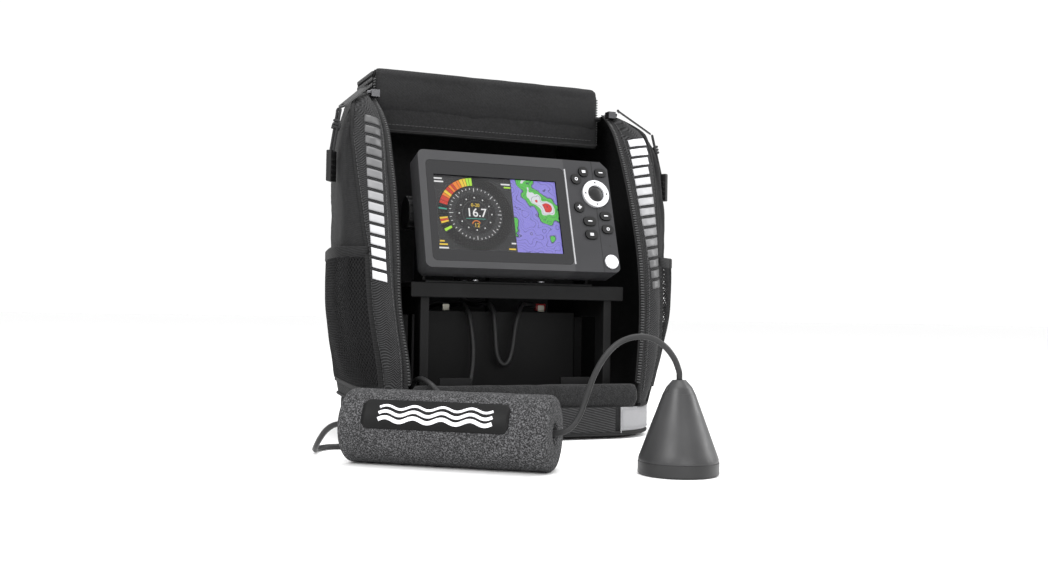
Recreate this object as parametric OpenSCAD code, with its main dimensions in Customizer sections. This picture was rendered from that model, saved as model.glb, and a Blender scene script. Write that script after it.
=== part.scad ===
// Portable fish finder kit: soft case, battery shuttle, tilting sonar display, foam float and transducer.
// +X is the viewer's right, +Y the back, +Z up. The origin is the centre of the case's base.

/* [Case] */
// Half width of the case at its base
base_half_w = 125; // [122:1:128]
// How much narrower the case is at the back, each side
base_narrowing = 10; // [8:1:12]
// Front of the base, behind it the lip
case_front = 92; // [90:1:94]
// Back of the case
case_back = 93; // [92:1:95]
// Height of the boot round the base
boot_h = 27; // [24:1:30]
// Height of the roof's top surface
roof_top = 287; // [286:0.5:288]
// Thickness of the padded walls
wall = 8; // [6:0.5:9]
// Half width of the front opening above the lip
mouth_half_w = 98; // [96:1:100]
// Top of the bound front lip
lip_top = 44; // [40:1:48]

/* [Flap] */
// Half width of the folded flap
flap_half_w = 105; // [96:0.5:105]
// Thickness of one flap panel
flap_t = 4; // [3:0.25:4.25]
// Distance from fold to fold
fold_pitch = 58; // [50:1:58]
// Distance between stacked layers
layer_pitch = 5.2; // [4.8:0.1:5.6]

/* [Shuttle] */
// Half width of the tray
tray_half_w = 94; // [90:1:95]
// Top of the deck
deck_top = 126; // [124:1:126]
// Width of the battery
battery_w = 151; // [140:1:152]
// Depth of the battery
battery_d = 65; // [60:1:65]
// Height of the battery's case
battery_h = 94; // [88:1:96]

/* [Display unit] */
// Width of the display unit's face
head_w = 171; // [169:1:172]
// Height of the display unit's face
head_h = 101; // [98:1:101]
// Angle that the face leans back
lean = 17.5; // [16:0.5:19]
// Depth of the front bezel
bezel_d = 22; // [20:0.5:22]
// Depth of the whole display unit
head_d = 61; // [58:0.5:62]
// Width of the picture on the screen
lcd_w = 108; // [104:0.5:110]
// Height of the picture on the screen
lcd_h = 64.8; // [60:0.2:66]
// Travel of a key
key_travel = 0.8; // [0.4:0.1:0.8]

/* [Float and transducer] */
// Diameter of the foam float
float_d = 50; // [46:1:52]
// Length of the foam float
float_len = 144; // [140:1:148]
// Diameter of the float's bore
float_bore = 13.5; // [12:0.5:16]
// Diameter of the transducer's base
transducer_d = 53; // [50:1:56]
// Height of the transducer's cone above its base ring
cone_h = 42; // [38:1:42]

/* [Cables] */
// Diameter of the transducer cable
cable_d = 4; // [3.6:0.1:4.4]
// Diameter of the power cable
power_d = 4.5; // [4:0.1:5]

/* [Hidden] */
$fn = 48;
// Clearance between neighbouring soft pieces
gap = 0.3;
// Rows of the case's side: height, half width, mouth edge x and y, cheek y, corner y, narrowing to the back
SIDE = [
    [27, 124, 101, -86, -79, -38, 10],
    [60, 131, 104, -86.5, -84.5, -36, 12],
    [105, 138.5, 109.5, -80, -79.5, -38, 17],
    [150, 141.5, 110, -74, -70, -41, 18],
    [196, 143.5, 109.5, -60, -57.5, -40, 20],
    [230, 143, 109.5, -45, -47.5, -34, 20],
    [250, 140, 109.5, -34.5, -41, -29, 18],
    [265, 134, 111, -22.5, -33, -22, 14],
    [277, 127, 112.5, -8, -18, -5, 10],
    [287, 118, 113.5, 7, 2, 12, 4]
];
// Outer profile of one side at a height, from the mouth's edge round the cheek to the back panel
back_panel_half_w = 100;
samples = 3;
function row(k, z) = lookup(z, [for (r = SIDE) [r[0], r[k]]]);
function side_corners(z) =
    let (w = row(1, z), x0 = row(2, z), y0 = row(3, z), yl = row(4, z), yc = row(5, z))
    let (wb = w - row(6, z), r = min(33, wb - back_panel_half_w - 3))
    [
        [x0, y0],
        [x0 + 0.42 * (w - x0), yl],
        [x0 + 0.85 * (w - x0), yl + 0.45 * (yc - yl)],
        [w, yc],
        [(w + wb) / 2, (yc + case_back) / 2],
        [wb, case_back - r],
        [wb - 0.29 * r, case_back - 0.29 * r],
        [wb - r, case_back],
        [back_panel_half_w + 0.4, case_back]
    ];
// Catmull-Rom curve through a list of points
function through(p, i, t) =
    let (a = p[max(i - 1, 0)], b = p[i], c = p[i + 1], d = p[min(i + 2, len(p) - 1)])
    0.5 * (2 * b + (c - a) * t + (2 * a - 5 * b + 4 * c - d) * t * t + (3 * b - a - 3 * c + d) * t * t * t);
function smooth(p, n) = concat([for (i = [0:len(p) - 2], k = [0:n - 1]) through(p, i, k / n)], [p[len(p) - 1]]);
function side_profile(z) = smooth(side_corners(z), samples);
// Outward normal of a profile at one of its points
function outward(p, i) =
    let (t = p[min(i + 1, len(p) - 1)] - p[max(i - 1, 0)])
    [t[1], -t[0]] / norm(t);
function ring_at(z, off, first, last) =
    let (p = side_profile(z))
    [for (i = [first:last]) let (q = p[i] + outward(p, i) * off) [q[0], q[1], z]];
// Width of the seam between two padded pieces
seam_gap = 0.1;
// A ring with its first point drawn in to leave the seam
function sewn(r) = let (step = r[1] - r[0]) concat([r[0] + step / norm(step) * seam_gap], [for (i = [1:len(r) - 1]) r[i]]);
// Lining of the padded side, thinner towards the roof
function lining_at(z, first, last) =
    let (p = side_profile(z), n = len(p) - 1, deep = wall * lookup(z, [[27, 0.85], [105, 0.9], [230, 0.9], [250, 0.72], [265, 0.5], [287, 0.25]]))
    [
        for (i = [first:last])
            let (t = p[min(i + 4, n)] - p[max(i - 4, 0)], q = p[i] - [t[1], -t[0]] / norm(t) * deep)
            [q[0], q[1], z]
    ];
side_last = 8 * samples;
// Mesh pocket: its rings, and how far it stands off the side
pocket_heights = [42, 50, 62, 78, 96, 114, 132, 148];
pocket_first = 4;
pocket_last = 15;
pocket_bulge = 10;
pocket_t = 1.2;
function pocket_off(z, i) =
    let (s = (i - pocket_first) / (pocket_last - pocket_first))
    let (up = (z - pocket_heights[0]) / (pocket_heights[7] - pocket_heights[0]))
    gap + pocket_bulge * pow(sin(180 * s), 0.5) * pow(sin(130 * pow(up, 0.8)), 0.8);
function pocket_ring(z, extra) =
    let (p = side_profile(z))
    [for (i = [pocket_first:pocket_last])
        let (q = p[i] + outward(p, i) * (pocket_off(z, i) + extra)) [q[0], q[1], z]];
// Flap: heights and places of its folds
fold_front = 15.6;
fold_back = fold_front + fold_pitch;
layer_low = 291.6;
fold_gap = 2.5;
function layer(i) = layer_low + i * layer_pitch;
hang_x = fold_front - 2;
hang_top = layer(3) - layer_pitch / 2;
hang_len = 48;
// Slider at the top of the zipper
slider_z = 284;
slider_x = row(2, slider_z);
slider_y = row(3, slider_z) - 11;
// Pull tab: its pivot, its turn forwards, its drop and its end
tab_x = slider_x + 5.5;
tab_z = slider_z + 4.5;
tab_turn = 35;
tab_drop = 36;
tab_len = 37;
tab_reach = tab_len * cos(tab_drop) + 1.6;
tab_end = [
    tab_x + tab_reach * cos(tab_turn),
    slider_y - tab_reach * sin(tab_turn),
    tab_z - tab_len * sin(tab_drop) - 2.4
];
// Display unit: centre of its face, and its parts in its own frame
face_y = -66.1;
face_z = 185.9;
lcd_x = -19.3;
lcd_z = -3;
glass_w = 122;
glass_h = 86.4;
glass_x = -18.3;
glass_z = -1.5;
tilt_depth = 38;
tilt_up = 9.5;
tilt_y = face_y + tilt_depth * cos(lean) + tilt_up * sin(lean);
tilt_z = face_z - tilt_depth * sin(lean) + tilt_up * cos(lean);
rear_half_w = 70.5;
rear_low = -36;
rear_high = 40;
stud_r = 3;
plug_z = 6;
plug_len = 24;
SCREWS = [[-79, 43], [-79, -43], [69.8, 44.6], [62, -44.5]];
// Keys: place of each key on the face, its width and its height
KEYS = [
    ["key_menu", 61.8, 40, 9, 9],
    ["key_view", 54, 32.8, 9, 9],
    ["key_exit", 78, 40, 10.5, 7.5],
    ["key_zoom_in", 54, 7, 9, 9],
    ["key_zoom_out", 62.2, -5.4, 11.5, 8],
    ["key_mark", 77.8, 0, 10.5, 7.5],
    ["key_goto", 62.4, -17.4, 11.5, 8],
    ["key_check", 78.2, -12, 10.5, 7.5]
];
power_key = [78, -41.2];
cursor = [70.8, 20];
cursor_r = 12.2;
key_gap = 0.35;
mat_depth = 7;
// Float: its middle and its direction over the floor
float_x = -106.3;
float_y = -207;
float_angle = -37.9;
// Transducer: centre of its base
probe_x = 26;
probe_y = -279;
ring_h = 8.5;
cap_h = 9;
// Cables: routes chosen by hand, from the display unit outwards
function plug_end(x, out) = [
    x,
    face_y + (head_d + plug_len + out) * cos(lean) + plug_z * sin(lean),
    face_z - (head_d + plug_len + out) * sin(lean) + plug_z * cos(lean)
];
LEAD_ROUTE = [
    plug_end(10, 0), plug_end(10, 6), [10.3, 29, 160], [11, 35, 152], [12.5, 41, 140], [14.5, 48, 126],
    [17.5, 56, 111], [20.5, 61.5, 95], [22.3, 62.2, 80], [22.5, 61, 62]
];
CABLE_ROUTE = [
    [-47.5, 73, 62], [-47.2, 71, 78], [-44.5, 65, 94], [-40, 56.5, 105], [-35, 43, 109.5], [-31.5, 27, 108.5],
    [-30, 10, 108.5], [-29, -6, 109.5], [-27.5, -16, 104.5], [-26, -21, 92], [-25, -25, 72], [-27, -29, 54],
    [-32, -34, 36], [-40, -41, 21], [-51, -49, 13.5], [-62, -57.5, 11.6], [-71, -65, 11.8], [-79, -69.4, 14],
    [-86, -69.8, 21], [-89.5, -70, 31.5], [-90.5, -70.2, 41], [-90.8, -73.2, 47.2], [-88.5, -82.5, 50.3],
    [-83.5, -93.5, 46.5], [-78, -98.3, 38.5], [-71, -102, 26], [-66, -106, 13.5], [-67, -111, 5.2],
    [-75, -116, 2.2], [-89, -118.5, 2.2], [-104, -117, 2.2], [-121, -112, 2.2], [-138, -105.5, 2.2],
    [-153, -101, 2.2], [-165, -101, 2.2], [-173.5, -108, 2.2], [-177.8, -118, 3], [-179.5, -129, 6.5],
    [-178.8, -138.5, 13], [-176, -146.8, 20], [-171.2, -154.8, 24.4], [-163.1, -162.8, 25],
    [-148, -174.6, 25], [-132, -187, 25], [-115, -200.2, 25], [-98, -213.5, 25], [-81, -226.7, 25],
    [-64, -239.9, 25], [-52, -249.3, 25], [-45, -254.2, 26.5], [-39.5, -256.8, 31], [-35, -258.2, 39],
    [-31, -259.3, 51], [-26.8, -260.7, 63.5], [-20.5, -263, 75.5], [-12, -265.8, 84.5], [-2, -269.2, 88.6],
    [8, -272.8, 88], [16.5, -275.7, 82.8], [22.5, -277.8, 75], [25.6, -278.9, 67], [26, -279, 63], [26, -279, 58.7]
];
POWER_ROUTE = [
    plug_end(-22, 0), plug_end(-22, 6), [-22, 29, 159], [-21.5, 34, 149], [-20.5, 36.5, 136], [-18.5, 35, 123],
    [-15.5, 28, 113.5], [-12, 15, 109.6], [-9, 2, 109.6], [-6, -9, 110], [-4.5, -17, 104], [-4, -20.5, 91],
    [-2.5, -22.5, 68], [2, -23.5, 58.5], [8, -23.5, 60.5], [12, -22.5, 72], [15, -20.5, 90], [19, -18, 102],
    [25, -10, 109.5], [34, 1, 110.3], [44, 7, 109.5], [49.5, 7.2, 109]
];
// Coil of stored cable behind the battery
coil_mid_r = 24;
coil_bundle_w = 17;
coil_bundle_h = 26;
coil_x = -12.5;
coil_y = 67;
coil_z = 46.7;

// ---- shared shapes ----

// Closed sheet between two grids of points, one row a ring
module sheet(outer, inner) {
    rows = len(outer);
    cols = len(outer[0]);
    n = rows * cols;
    points = [for (g = [outer, inner], r = g, p = r) p];
    faces = concat(
        [for (r = [0:rows - 2], c = [0:cols - 2]) [r * cols + c, (r + 1) * cols + c, (r + 1) * cols + c + 1]],
        [for (r = [0:rows - 2], c = [0:cols - 2]) [r * cols + c, (r + 1) * cols + c + 1, r * cols + c + 1]],
        [for (r = [0:rows - 2], c = [0:cols - 2]) [n + r * cols + c, n + (r + 1) * cols + c + 1, n + (r + 1) * cols + c]],
        [for (r = [0:rows - 2], c = [0:cols - 2]) [n + r * cols + c, n + r * cols + c + 1, n + (r + 1) * cols + c + 1]],
        [for (c = [0:cols - 2]) [c, c + 1, n + c + 1]],
        [for (c = [0:cols - 2]) [c, n + c + 1, n + c]],
        [for (c = [0:cols - 2]) let (k = (rows - 1) * cols + c) [k + 1, k, n + k]],
        [for (c = [0:cols - 2]) let (k = (rows - 1) * cols + c) [k + 1, n + k, n + k + 1]],
        [for (r = [0:rows - 2]) let (k = r * cols) [k, n + k, n + k + cols]],
        [for (r = [0:rows - 2]) let (k = r * cols) [k, n + k + cols, k + cols]],
        [for (r = [0:rows - 2]) let (k = r * cols + cols - 1) [k, k + cols, n + k + cols]],
        [for (r = [0:rows - 2]) let (k = r * cols + cols - 1) [k, n + k + cols, n + k]]
    );
    polyhedron(points, faces);
}

// Direction of a route at one of its points
function heading(p, i) =
    let (t = p[min(i + 1, len(p) - 1)] - p[max(i - 1, 0)])
    t / norm(t);
// Side directions that turn as little as they can along a route
function turn_on(p, i, side) =
    let (t = heading(p, i), s = side - (side * t) * t)
    s / norm(s);
function sides_along(p, i, side) =
    let (s = turn_on(p, i, side))
    i == len(p) - 1 ? [s] : concat([s], sides_along(p, i + 1, s));

// Round tube swept along a route
module tube(p, d) {
    n = 8;
    s = sides_along(p, 0, [1, 0.01, 0.02]);
    points = [for (i = [0:len(p) - 1], k = [0:n - 1])
        let (t = heading(p, i), b = cross(t, s[i]))
        p[i] + d / 2 * (cos(360 * k / n) * s[i] + sin(360 * k / n) * b)];
    last = (len(p) - 1) * n;
    faces = concat(
        [[for (k = [0:n - 1]) k]],
        [[for (k = [n - 1:-1:0]) last + k]],
        [for (i = [0:len(p) - 2], k = [0:n - 1]) [i * n + k, (i + 1) * n + k, (i + 1) * n + (k + 1) % n]],
        [for (i = [0:len(p) - 2], k = [0:n - 1]) [i * n + k, (i + 1) * n + (k + 1) % n, i * n + (k + 1) % n]]
    );
    polyhedron(points, faces);
}

// Rectangle with round corners, centred
module rounded(w, h, r) {
    square([w, h - 2 * r], center = true);
    square([w - 2 * r, h], center = true);
    for (x = [-1, 1], y = [-1, 1]) {
        translate([x * (w / 2 - r), y * (h / 2 - r)]) circle(r);
    }
}

// Plan of the case's boot, drawn in by an inset: it narrows to the back
module boot_plan(inset) {
    front_r = 50;
    back_r = 24;
    front = [base_half_w - front_r, -case_front + front_r];
    back = [base_half_w - base_narrowing - back_r, case_back - back_r];
    way = (back - front) / norm(back - front);
    k = (front_r - back_r) / norm(back - front);
    out = k * way + sqrt(1 - k * k) * [way[1], -way[0]];
    half = [
        [front[0], -case_front + inset],
        front + (front_r - inset + 0.03) * out,
        back + (back_r - inset + 0.03) * out,
        [back[0], case_back - inset]
    ];
    polygon(concat(half, [for (i = [3:-1:0]) [-half[i][0], half[i][1]]]));
    for (x = [-1, 1]) {
        translate([x * front[0], front[1]]) circle(front_r - inset, $fn = 96);
        translate([x * back[0], back[1]]) circle(back_r - inset, $fn = 96);
    }
}

// Carries a shape from the display unit's own frame to its place
module on_head() {
    translate([0, face_y, face_z]) rotate([-lean, 0, 0]) children();
}

// Flat plate of the display unit: drawn in its face's plane, thick towards the back
module plate(from, to) {
    translate([0, to, 0]) rotate([90, 0, 0]) linear_extrude(to - from) children();
}

// ---- soft case ----

// Boot under the case, with a stiff floor
module base_pan() {
    color([0.09, 0.09, 0.1]) difference() {
        union() {
            linear_extrude(4) boot_plan(6);
            translate([0, 0, 4]) linear_extrude(5) boot_plan(2);
            translate([0, 0, 9]) linear_extrude(boot_h - 9) boot_plan(0);
        }
        translate([0, 0, 6]) linear_extrude(boot_h) boot_plan(wall + 2);
    }
}

// Light corner panels sewn over the boot's front corners
module corner_guards() {
    color([0.72, 0.72, 0.72]) for (s = [-1, 1]) {
        intersection() {
            translate([0, 0, 6]) linear_extrude(20) difference() {
                boot_plan(-1.5);
                boot_plan(-0.3);
            }
            translate([s > 0 ? 78 : -150, -100, 0]) cube([72, 62, 40]);
        }
    }
}

// Woven hook strip across the boot's front
module hook_strip() {
    color([0.16, 0.16, 0.17]) translate([-76, -case_front - 1.6, 5.5]) cube([152, 1.4, 20.5]);
}

// Bound lip over the boot's front
module front_lip() {
    color([0.12, 0.12, 0.13]) {
        translate([-mouth_half_w + gap, -case_front, boot_h + gap]) {
            cube([2 * (mouth_half_w - gap), 7, lip_top - 3.5 - boot_h - gap]);
        }
        translate([-mouth_half_w + gap, -case_front + 3.5, lip_top - 3.5]) rotate([0, 90, 0]) {
            cylinder(r = 3.5, h = 2 * (mouth_half_w - gap));
        }
    }
}

module back_panel() {
    color([0.09, 0.09, 0.1]) translate([-back_panel_half_w + 1, case_back - wall, boot_h + gap]) {
        cube([2 * back_panel_half_w - 2, wall, roof_top - boot_h - gap]);
    }
}

// Padded side, sewn from a cheek, a side and a rear corner, each in three lengths
module side_panel() {
    seams = [0, 9, 16, side_last];
    lengths = [[27.3, 60, 105, 150], [150.05, 173, 196, 218], [218.05, 240, 258, 272, 287]];
    for (heights = lengths, k = [0:2]) {
        sheet(
            [for (z = heights) sewn(ring_at(z, 0, seams[k], seams[k + 1]))],
            [for (z = heights) sewn(lining_at(z, seams[k], seams[k + 1]))]
        );
    }
}

module side_panel_right() {
    color([0.15, 0.15, 0.16]) side_panel();
}

module side_panel_left() {
    color([0.15, 0.15, 0.16]) mirror([1, 0, 0]) side_panel();
}

module roof_panel() {
    color([0.11, 0.11, 0.12]) translate([-104, 18.6, roof_top - 10]) {
        cube([208, case_back - wall - 18.6 - gap, 10]);
    }
}

// Zipper tapes with their teeth, along both edges of the mouth
module zipper_tapes() {
    heights = [46, 60, 82, 105, 128, 150, 173, 196, 214, 230, 250, 265, 277, 286];
    color([0.05, 0.05, 0.05]) for (s = [0, 1]) mirror([s, 0, 0]) {
        sheet(
            [for (z = heights) [[row(2, z) - 4.5, row(3, z) - 1, z], [row(2, z) - 1, row(3, z) - 1, z]]],
            [for (z = heights) [[row(2, z) - 4.5, row(3, z) + 2, z], [row(2, z) - 1, row(3, z) + 2, z]]]
        );
    }
}

module mesh_pocket() {
    sheet([for (z = pocket_heights) pocket_ring(z, pocket_t)], [for (z = pocket_heights) pocket_ring(z, 0)]);
}

module mesh_pocket_right() {
    color([0.08, 0.08, 0.08]) mesh_pocket();
}

module mesh_pocket_left() {
    color([0.08, 0.08, 0.08]) mirror([1, 0, 0]) mesh_pocket();
}

// Webbing handle across the top of the back
module carry_handle() {
    color([0.06, 0.06, 0.06]) {
        for (s = [-1, 1]) {
            translate([s * 62 - 14, case_back + gap, 226]) cube([28, 2, 30]);
            translate([s * 49 - 6, case_back + gap, 250]) cube([12, 22, 2.4]);
            translate([s * 49 - 6, case_back + gap, 230]) cube([12, 22, 2.4]);
        }
        translate([-56, case_back + 19.6, 230]) cube([112, 2.6, 22.4]);
    }
}

// One panel of the stacked flap, between two folds
module flap_layer(i, near) {
    color([0.1, 0.1, 0.11]) translate([-flap_half_w, near, layer(i) - flap_t / 2]) {
        cube([2 * flap_half_w, fold_back - fold_gap - near, flap_t]);
    }
}

module flap_panel_1() {
    flap_layer(0, fold_front + fold_gap);
}

module flap_panel_2() {
    flap_layer(1, fold_front + fold_gap);
}

module flap_panel_3() {
    flap_layer(2, fold_front + fold_gap);
}

module flap_panel_4() {
    flap_layer(3, hang_x + 1);
}

// Last panel, hanging over the front of the stack
module flap_panel_5() {
    color([0.1, 0.1, 0.11]) {
        translate([-flap_half_w, hang_x - layer_pitch / 2 - flap_t / 2, hang_top - hang_len]) {
            cube([2 * flap_half_w, flap_t, hang_len - 1]);
        }
    }
}

// Round rod between two points
module rod(a, b, r) {
    d = b - a;
    translate(a) rotate([0, acos(d[2] / norm(d)), atan2(d[1], d[0])]) cylinder(r = r, h = norm(d), $fn = 24);
}

// Slider body at the top of the right zipper
module zipper_slider() {
    translate([slider_x - 6.2, slider_y - 4, slider_z - 3]) cube([7, 8, 6]);
    translate([slider_x - 0.5, slider_y, slider_z + 0.8]) rotate([0, 90, 0]) cylinder(r = 1.5, h = 4);
}

module zipper_slider_right() {
    color([0.5, 0.5, 0.52]) zipper_slider();
}

module zipper_slider_left() {
    color([0.5, 0.5, 0.52]) mirror([1, 0, 0]) zipper_slider();
}

// Carries a shape to the tab's own frame: x along the tab, from its pivot
module on_tab() {
    translate([tab_x, slider_y, tab_z]) rotate([0, 0, -tab_turn]) rotate([0, tab_drop, 0]) children();
}

// Flat metal tab that hangs outwards from the slider, over the case's shoulder
module pull_tab() {
    on_tab() difference() {
        union() {
            translate([0, -3.5, -0.7]) cube([tab_len - 3.5, 7, 1.4]);
            translate([tab_len - 3.5, 0, -0.7]) cylinder(r = 3.5, h = 1.4);
            rotate([90, 0, 0]) translate([0, 0, -3.5]) cylinder(r = 1.2, h = 7);
        }
        translate([tab_len - 4, 0, -1]) cylinder(r = 1.6, h = 2);
    }
}

module pull_tab_right() {
    color([0.4, 0.4, 0.42]) pull_tab();
}

module pull_tab_left() {
    color([0.4, 0.4, 0.42]) mirror([1, 0, 0]) pull_tab();
}

// Knotted cord that hangs from the tab's end over the cheek, with a moulded grip
module cord_pull() {
    hang = [6.5, -5, -36];
    low = tab_end + hang;
    for (y = [-1.5, 1.5]) rod(tab_end + [0, y, 0], low + [0, y, 0], 1.1);
    rod(tab_end + 0.2 * hang, tab_end + 0.37 * hang, 3);
    translate(low + [0, 0, -23]) rotate([0, 0, 35]) translate([-2.2, -6, 0]) cube([4.4, 12, 25]);
}

module cord_pull_right() {
    color([0.05, 0.05, 0.05]) cord_pull();
}

module cord_pull_left() {
    color([0.05, 0.05, 0.05]) mirror([1, 0, 0]) cord_pull();
}

// ---- shuttle and power ----

// Tray with a raised front rim and two latch tabs
module shuttle_tray() {
    tray_front = -76;
    tray_back = 82;
    color([0.07, 0.07, 0.08]) {
        translate([-tray_half_w, tray_front, 6.3]) cube([2 * tray_half_w, tray_back - tray_front, 3]);
        translate([-tray_half_w, tray_front, 9.3]) cube([2 * tray_half_w, 3, 31.7]);
        for (x = [-71, 34]) translate([x, tray_front, 41]) cube([27, 3, 9]);
        translate([-tray_half_w, tray_back - 3, 9.3]) cube([2 * tray_half_w, 3, 20]);
        for (x = [-tray_half_w, tray_half_w - 3]) {
            translate([x, tray_front + 3, 9.3]) cube([3, tray_back - tray_front - 6, 20]);
        }
    }
}

// Side uprights and the deck that carries the display unit, in one moulding
module shuttle_stand() {
    post_x = 77.5;
    post_t = 7.5;
    color([0.07, 0.07, 0.08]) difference() {
        union() {
            for (s = [-1, 1]) {
                translate([s > 0 ? post_x : -post_x - post_t, -66, 9.5]) cube([post_t, 118, deck_top - 12]);
            }
            translate([-tray_half_w, -70, deck_top - 4]) cube([2 * tray_half_w, 90, 4]);
            translate([-tray_half_w, -70, deck_top - 12]) cube([2 * tray_half_w, 3, 10]);
        }
        translate([-100, -50, 34]) cube([200, 42, 66]);
        translate([-100, 4, 34]) cube([200, 36, 66]);
        for (x = [-30, 30], y = [-40, -14]) {
            translate([x, y, deck_top - 5]) cylinder(r = 2.1, h = 6);
        }
    }
}

// Sealed lead-acid battery with two terminals
module battery() {
    battery_y = -12;
    color([0.2, 0.2, 0.22]) {
        translate([-battery_w / 2, battery_y, 9.5]) cube([battery_w, battery_d, battery_h]);
    }
    color([0.75, 0.72, 0.6]) for (x = [-40, 50]) {
        translate([x - 3, battery_y + 16, 9.5 + battery_h]) cube([6, 0.8, 6]);
    }
}

module power_cable() {
    color([0.04, 0.04, 0.04]) {
        tube(POWER_ROUTE, power_d);
        translate([45, 4.9, 104.5]) cube([10, 4.6, 6.5]);
    }
}

// U-shaped bracket with two ears
module gimbal_bracket() {
    arm_x = 72.4;
    arm_t = 3;
    color([0.06, 0.06, 0.06]) difference() {
        union() {
            translate([-arm_x - arm_t, -48, deck_top + 0.02]) cube([2 * (arm_x + arm_t), 42, 2.4]);
            for (s = [-1, 1]) {
                translate([s > 0 ? arm_x : -arm_x - arm_t, tilt_y - 12, deck_top + 1]) {
                    cube([arm_t, 24, tilt_z - deck_top - 1]);
                }
                translate([s > 0 ? arm_x : -arm_x - arm_t, tilt_y, tilt_z]) rotate([0, 90, 0]) {
                    cylinder(r = 12, h = arm_t);
                }
            }
        }
        translate([-90, tilt_y, tilt_z]) rotate([0, 90, 0]) cylinder(r = stud_r + 0.3, h = 180);
        for (x = [-30, 30], y = [-40, -14]) {
            translate([x, y, deck_top - 1]) cylinder(r = 2.1, h = 6);
        }
    }
}

module bracket_screws() {
    color([0.6, 0.6, 0.62]) for (x = [-30, 30], y = [-40, -14]) {
        translate([x, y, deck_top - 7]) cylinder(r = 2, h = 10);
        translate([x, y, deck_top + 2.43]) cylinder(r = 3.6, h = 1.4);
    }
}

// Clamping knob with a ribbed grip and its stud
module knob() {
    translate([0, tilt_y, tilt_z]) rotate([0, 90, 0]) {
        translate([0, 0, 60]) cylinder(r = stud_r, h = 22);
        translate([0, 0, 75.9]) cylinder(r = 9, h = 2.2);
        translate([0, 0, 78]) cylinder(r = 13.2, h = 9.5);
        for (a = [0:30:330]) rotate([0, 0, a]) translate([13, 0, 78.5]) cylinder(r = 1.3, h = 8.5, $fn = 16);
    }
}

module knob_right() {
    color([0.08, 0.08, 0.09]) knob();
}

module knob_left() {
    color([0.08, 0.08, 0.09]) mirror([1, 0, 0]) knob();
}

// ---- display unit ----

// Outline of the face, with its upper right corner cut off
module face_outline(inset) {
    difference() {
        rounded(head_w - 2 * inset, head_h - 2 * inset, 5);
        translate([head_w / 2 - inset, head_h / 2 - inset]) rotate(45) square([9, 18], center = true);
    }
}

// A key's outline, round or oval
module key_outline(w, h, grow) {
    if (w == h) {
        circle(d = w + 2 * grow);
    } else {
        rounded(w + 2 * grow, h + 2 * grow, h / 2 + grow - 0.05);
    }
}

module front_bezel() {
    hole_to = 6.6;
    color([0.17, 0.17, 0.18]) on_head() difference() {
        union() {
            plate(0, 3.4) face_outline(0);
            plate(3.3, bezel_d) difference() {
                face_outline(0);
                face_outline(2.4);
            }
            for (p = SCREWS) translate([p[0], 0, p[1]]) plate(3.3, bezel_d) circle(r = 2.7);
        }
        for (p = SCREWS) translate([p[0], 0, p[1]]) plate(8, bezel_d + 1) circle(r = 1.55);
        translate([glass_x, 0, glass_z]) plate(-1, 1.8) rounded(glass_w + 0.4, glass_h + 0.4, 4);
        translate([lcd_x, 0, lcd_z]) plate(-1, 4) square([lcd_w + 5, lcd_h + 5], center = true);
        for (k = KEYS) {
            translate([k[1], 0, k[2]]) plate(-1, hole_to) key_outline(k[3], k[4], key_gap);
        }
        translate([power_key[0], 0, power_key[1]]) plate(-1, mat_depth + 1) circle(r = 6.1 + key_gap);
        translate([cursor[0], 0, cursor[1]]) plate(-1, hole_to) circle(r = cursor_r + 0.6);
    }
}

module rear_case() {
    color([0.1, 0.1, 0.11]) on_head() difference() {
        union() {
            plate(bezel_d + 0.02, bezel_d + 3) rounded(head_w - 8, head_h - 5, 5);
            translate([0, 0, (rear_low + rear_high) / 2]) plate(bezel_d + 2, head_d) {
                rounded(2 * rear_half_w, rear_high - rear_low, 6);
            }
            for (s = [-1, 1]) {
                translate([s > 0 ? 58 : -72, tilt_depth, tilt_up]) rotate([0, 90, 0]) cylinder(r = 8, h = 14);
            }
        }
        translate([0, 0, (rear_low + rear_high) / 2]) plate(bezel_d - 1, head_d - 2.6) {
            rounded(2 * rear_half_w - 5.2, rear_high - rear_low - 5.2, 4);
        }
        for (s = [-1, 1]) {
            translate([s > 0 ? 57 : -73, tilt_depth, tilt_up]) rotate([0, 90, 0]) {
                cylinder(r = stud_r + 0.05, h = 16);
            }
        }
        for (x = [-22, 10]) translate([x, 0, plug_z]) plate(head_d - 4, head_d + 1) circle(r = 7.2);
        translate([48, 0, 8]) plate(head_d - 4, head_d + 1) square([18, 22], center = true);
        for (p = SCREWS) translate([p[0], 0, p[1]]) plate(bezel_d - 1, bezel_d + 4) circle(r = 1.6);
        for (s = [-1, 1]) {
            translate([s > 0 ? 75.7 : -95.7, tilt_depth, tilt_up]) rotate([0, 90, 0]) cylinder(r = 15.6, h = 20);
        }
    }
    color([0.1, 0.1, 0.11]) on_head() for (s = [-1, 1]) {
        translate([s > 0 ? 58 : -rear_half_w + 2.6, tilt_depth, tilt_up]) rotate([0, 90, 0]) difference() {
            cylinder(r = 7.9, h = rear_half_w - 2.6 - 58);
            translate([0, 0, -1]) cylinder(r = stud_r + 0.05, h = 20);
        }
    }
}

module display_window() {
    color([0.03, 0.03, 0.04]) on_head() {
        translate([glass_x, 0, glass_z]) plate(0.15, 1.75) rounded(glass_w, glass_h, 3.8);
    }
}

module lcd_panel() {
    color([0.2, 0.22, 0.3]) on_head() {
        translate([lcd_x, 0, lcd_z]) plate(1.9, 3.3) square([lcd_w, lcd_h], center = true);
        translate([lcd_x, 0, lcd_z]) plate(3.45, 8.4) square([lcd_w + 8, lcd_h + 10], center = true);
    }
}

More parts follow.
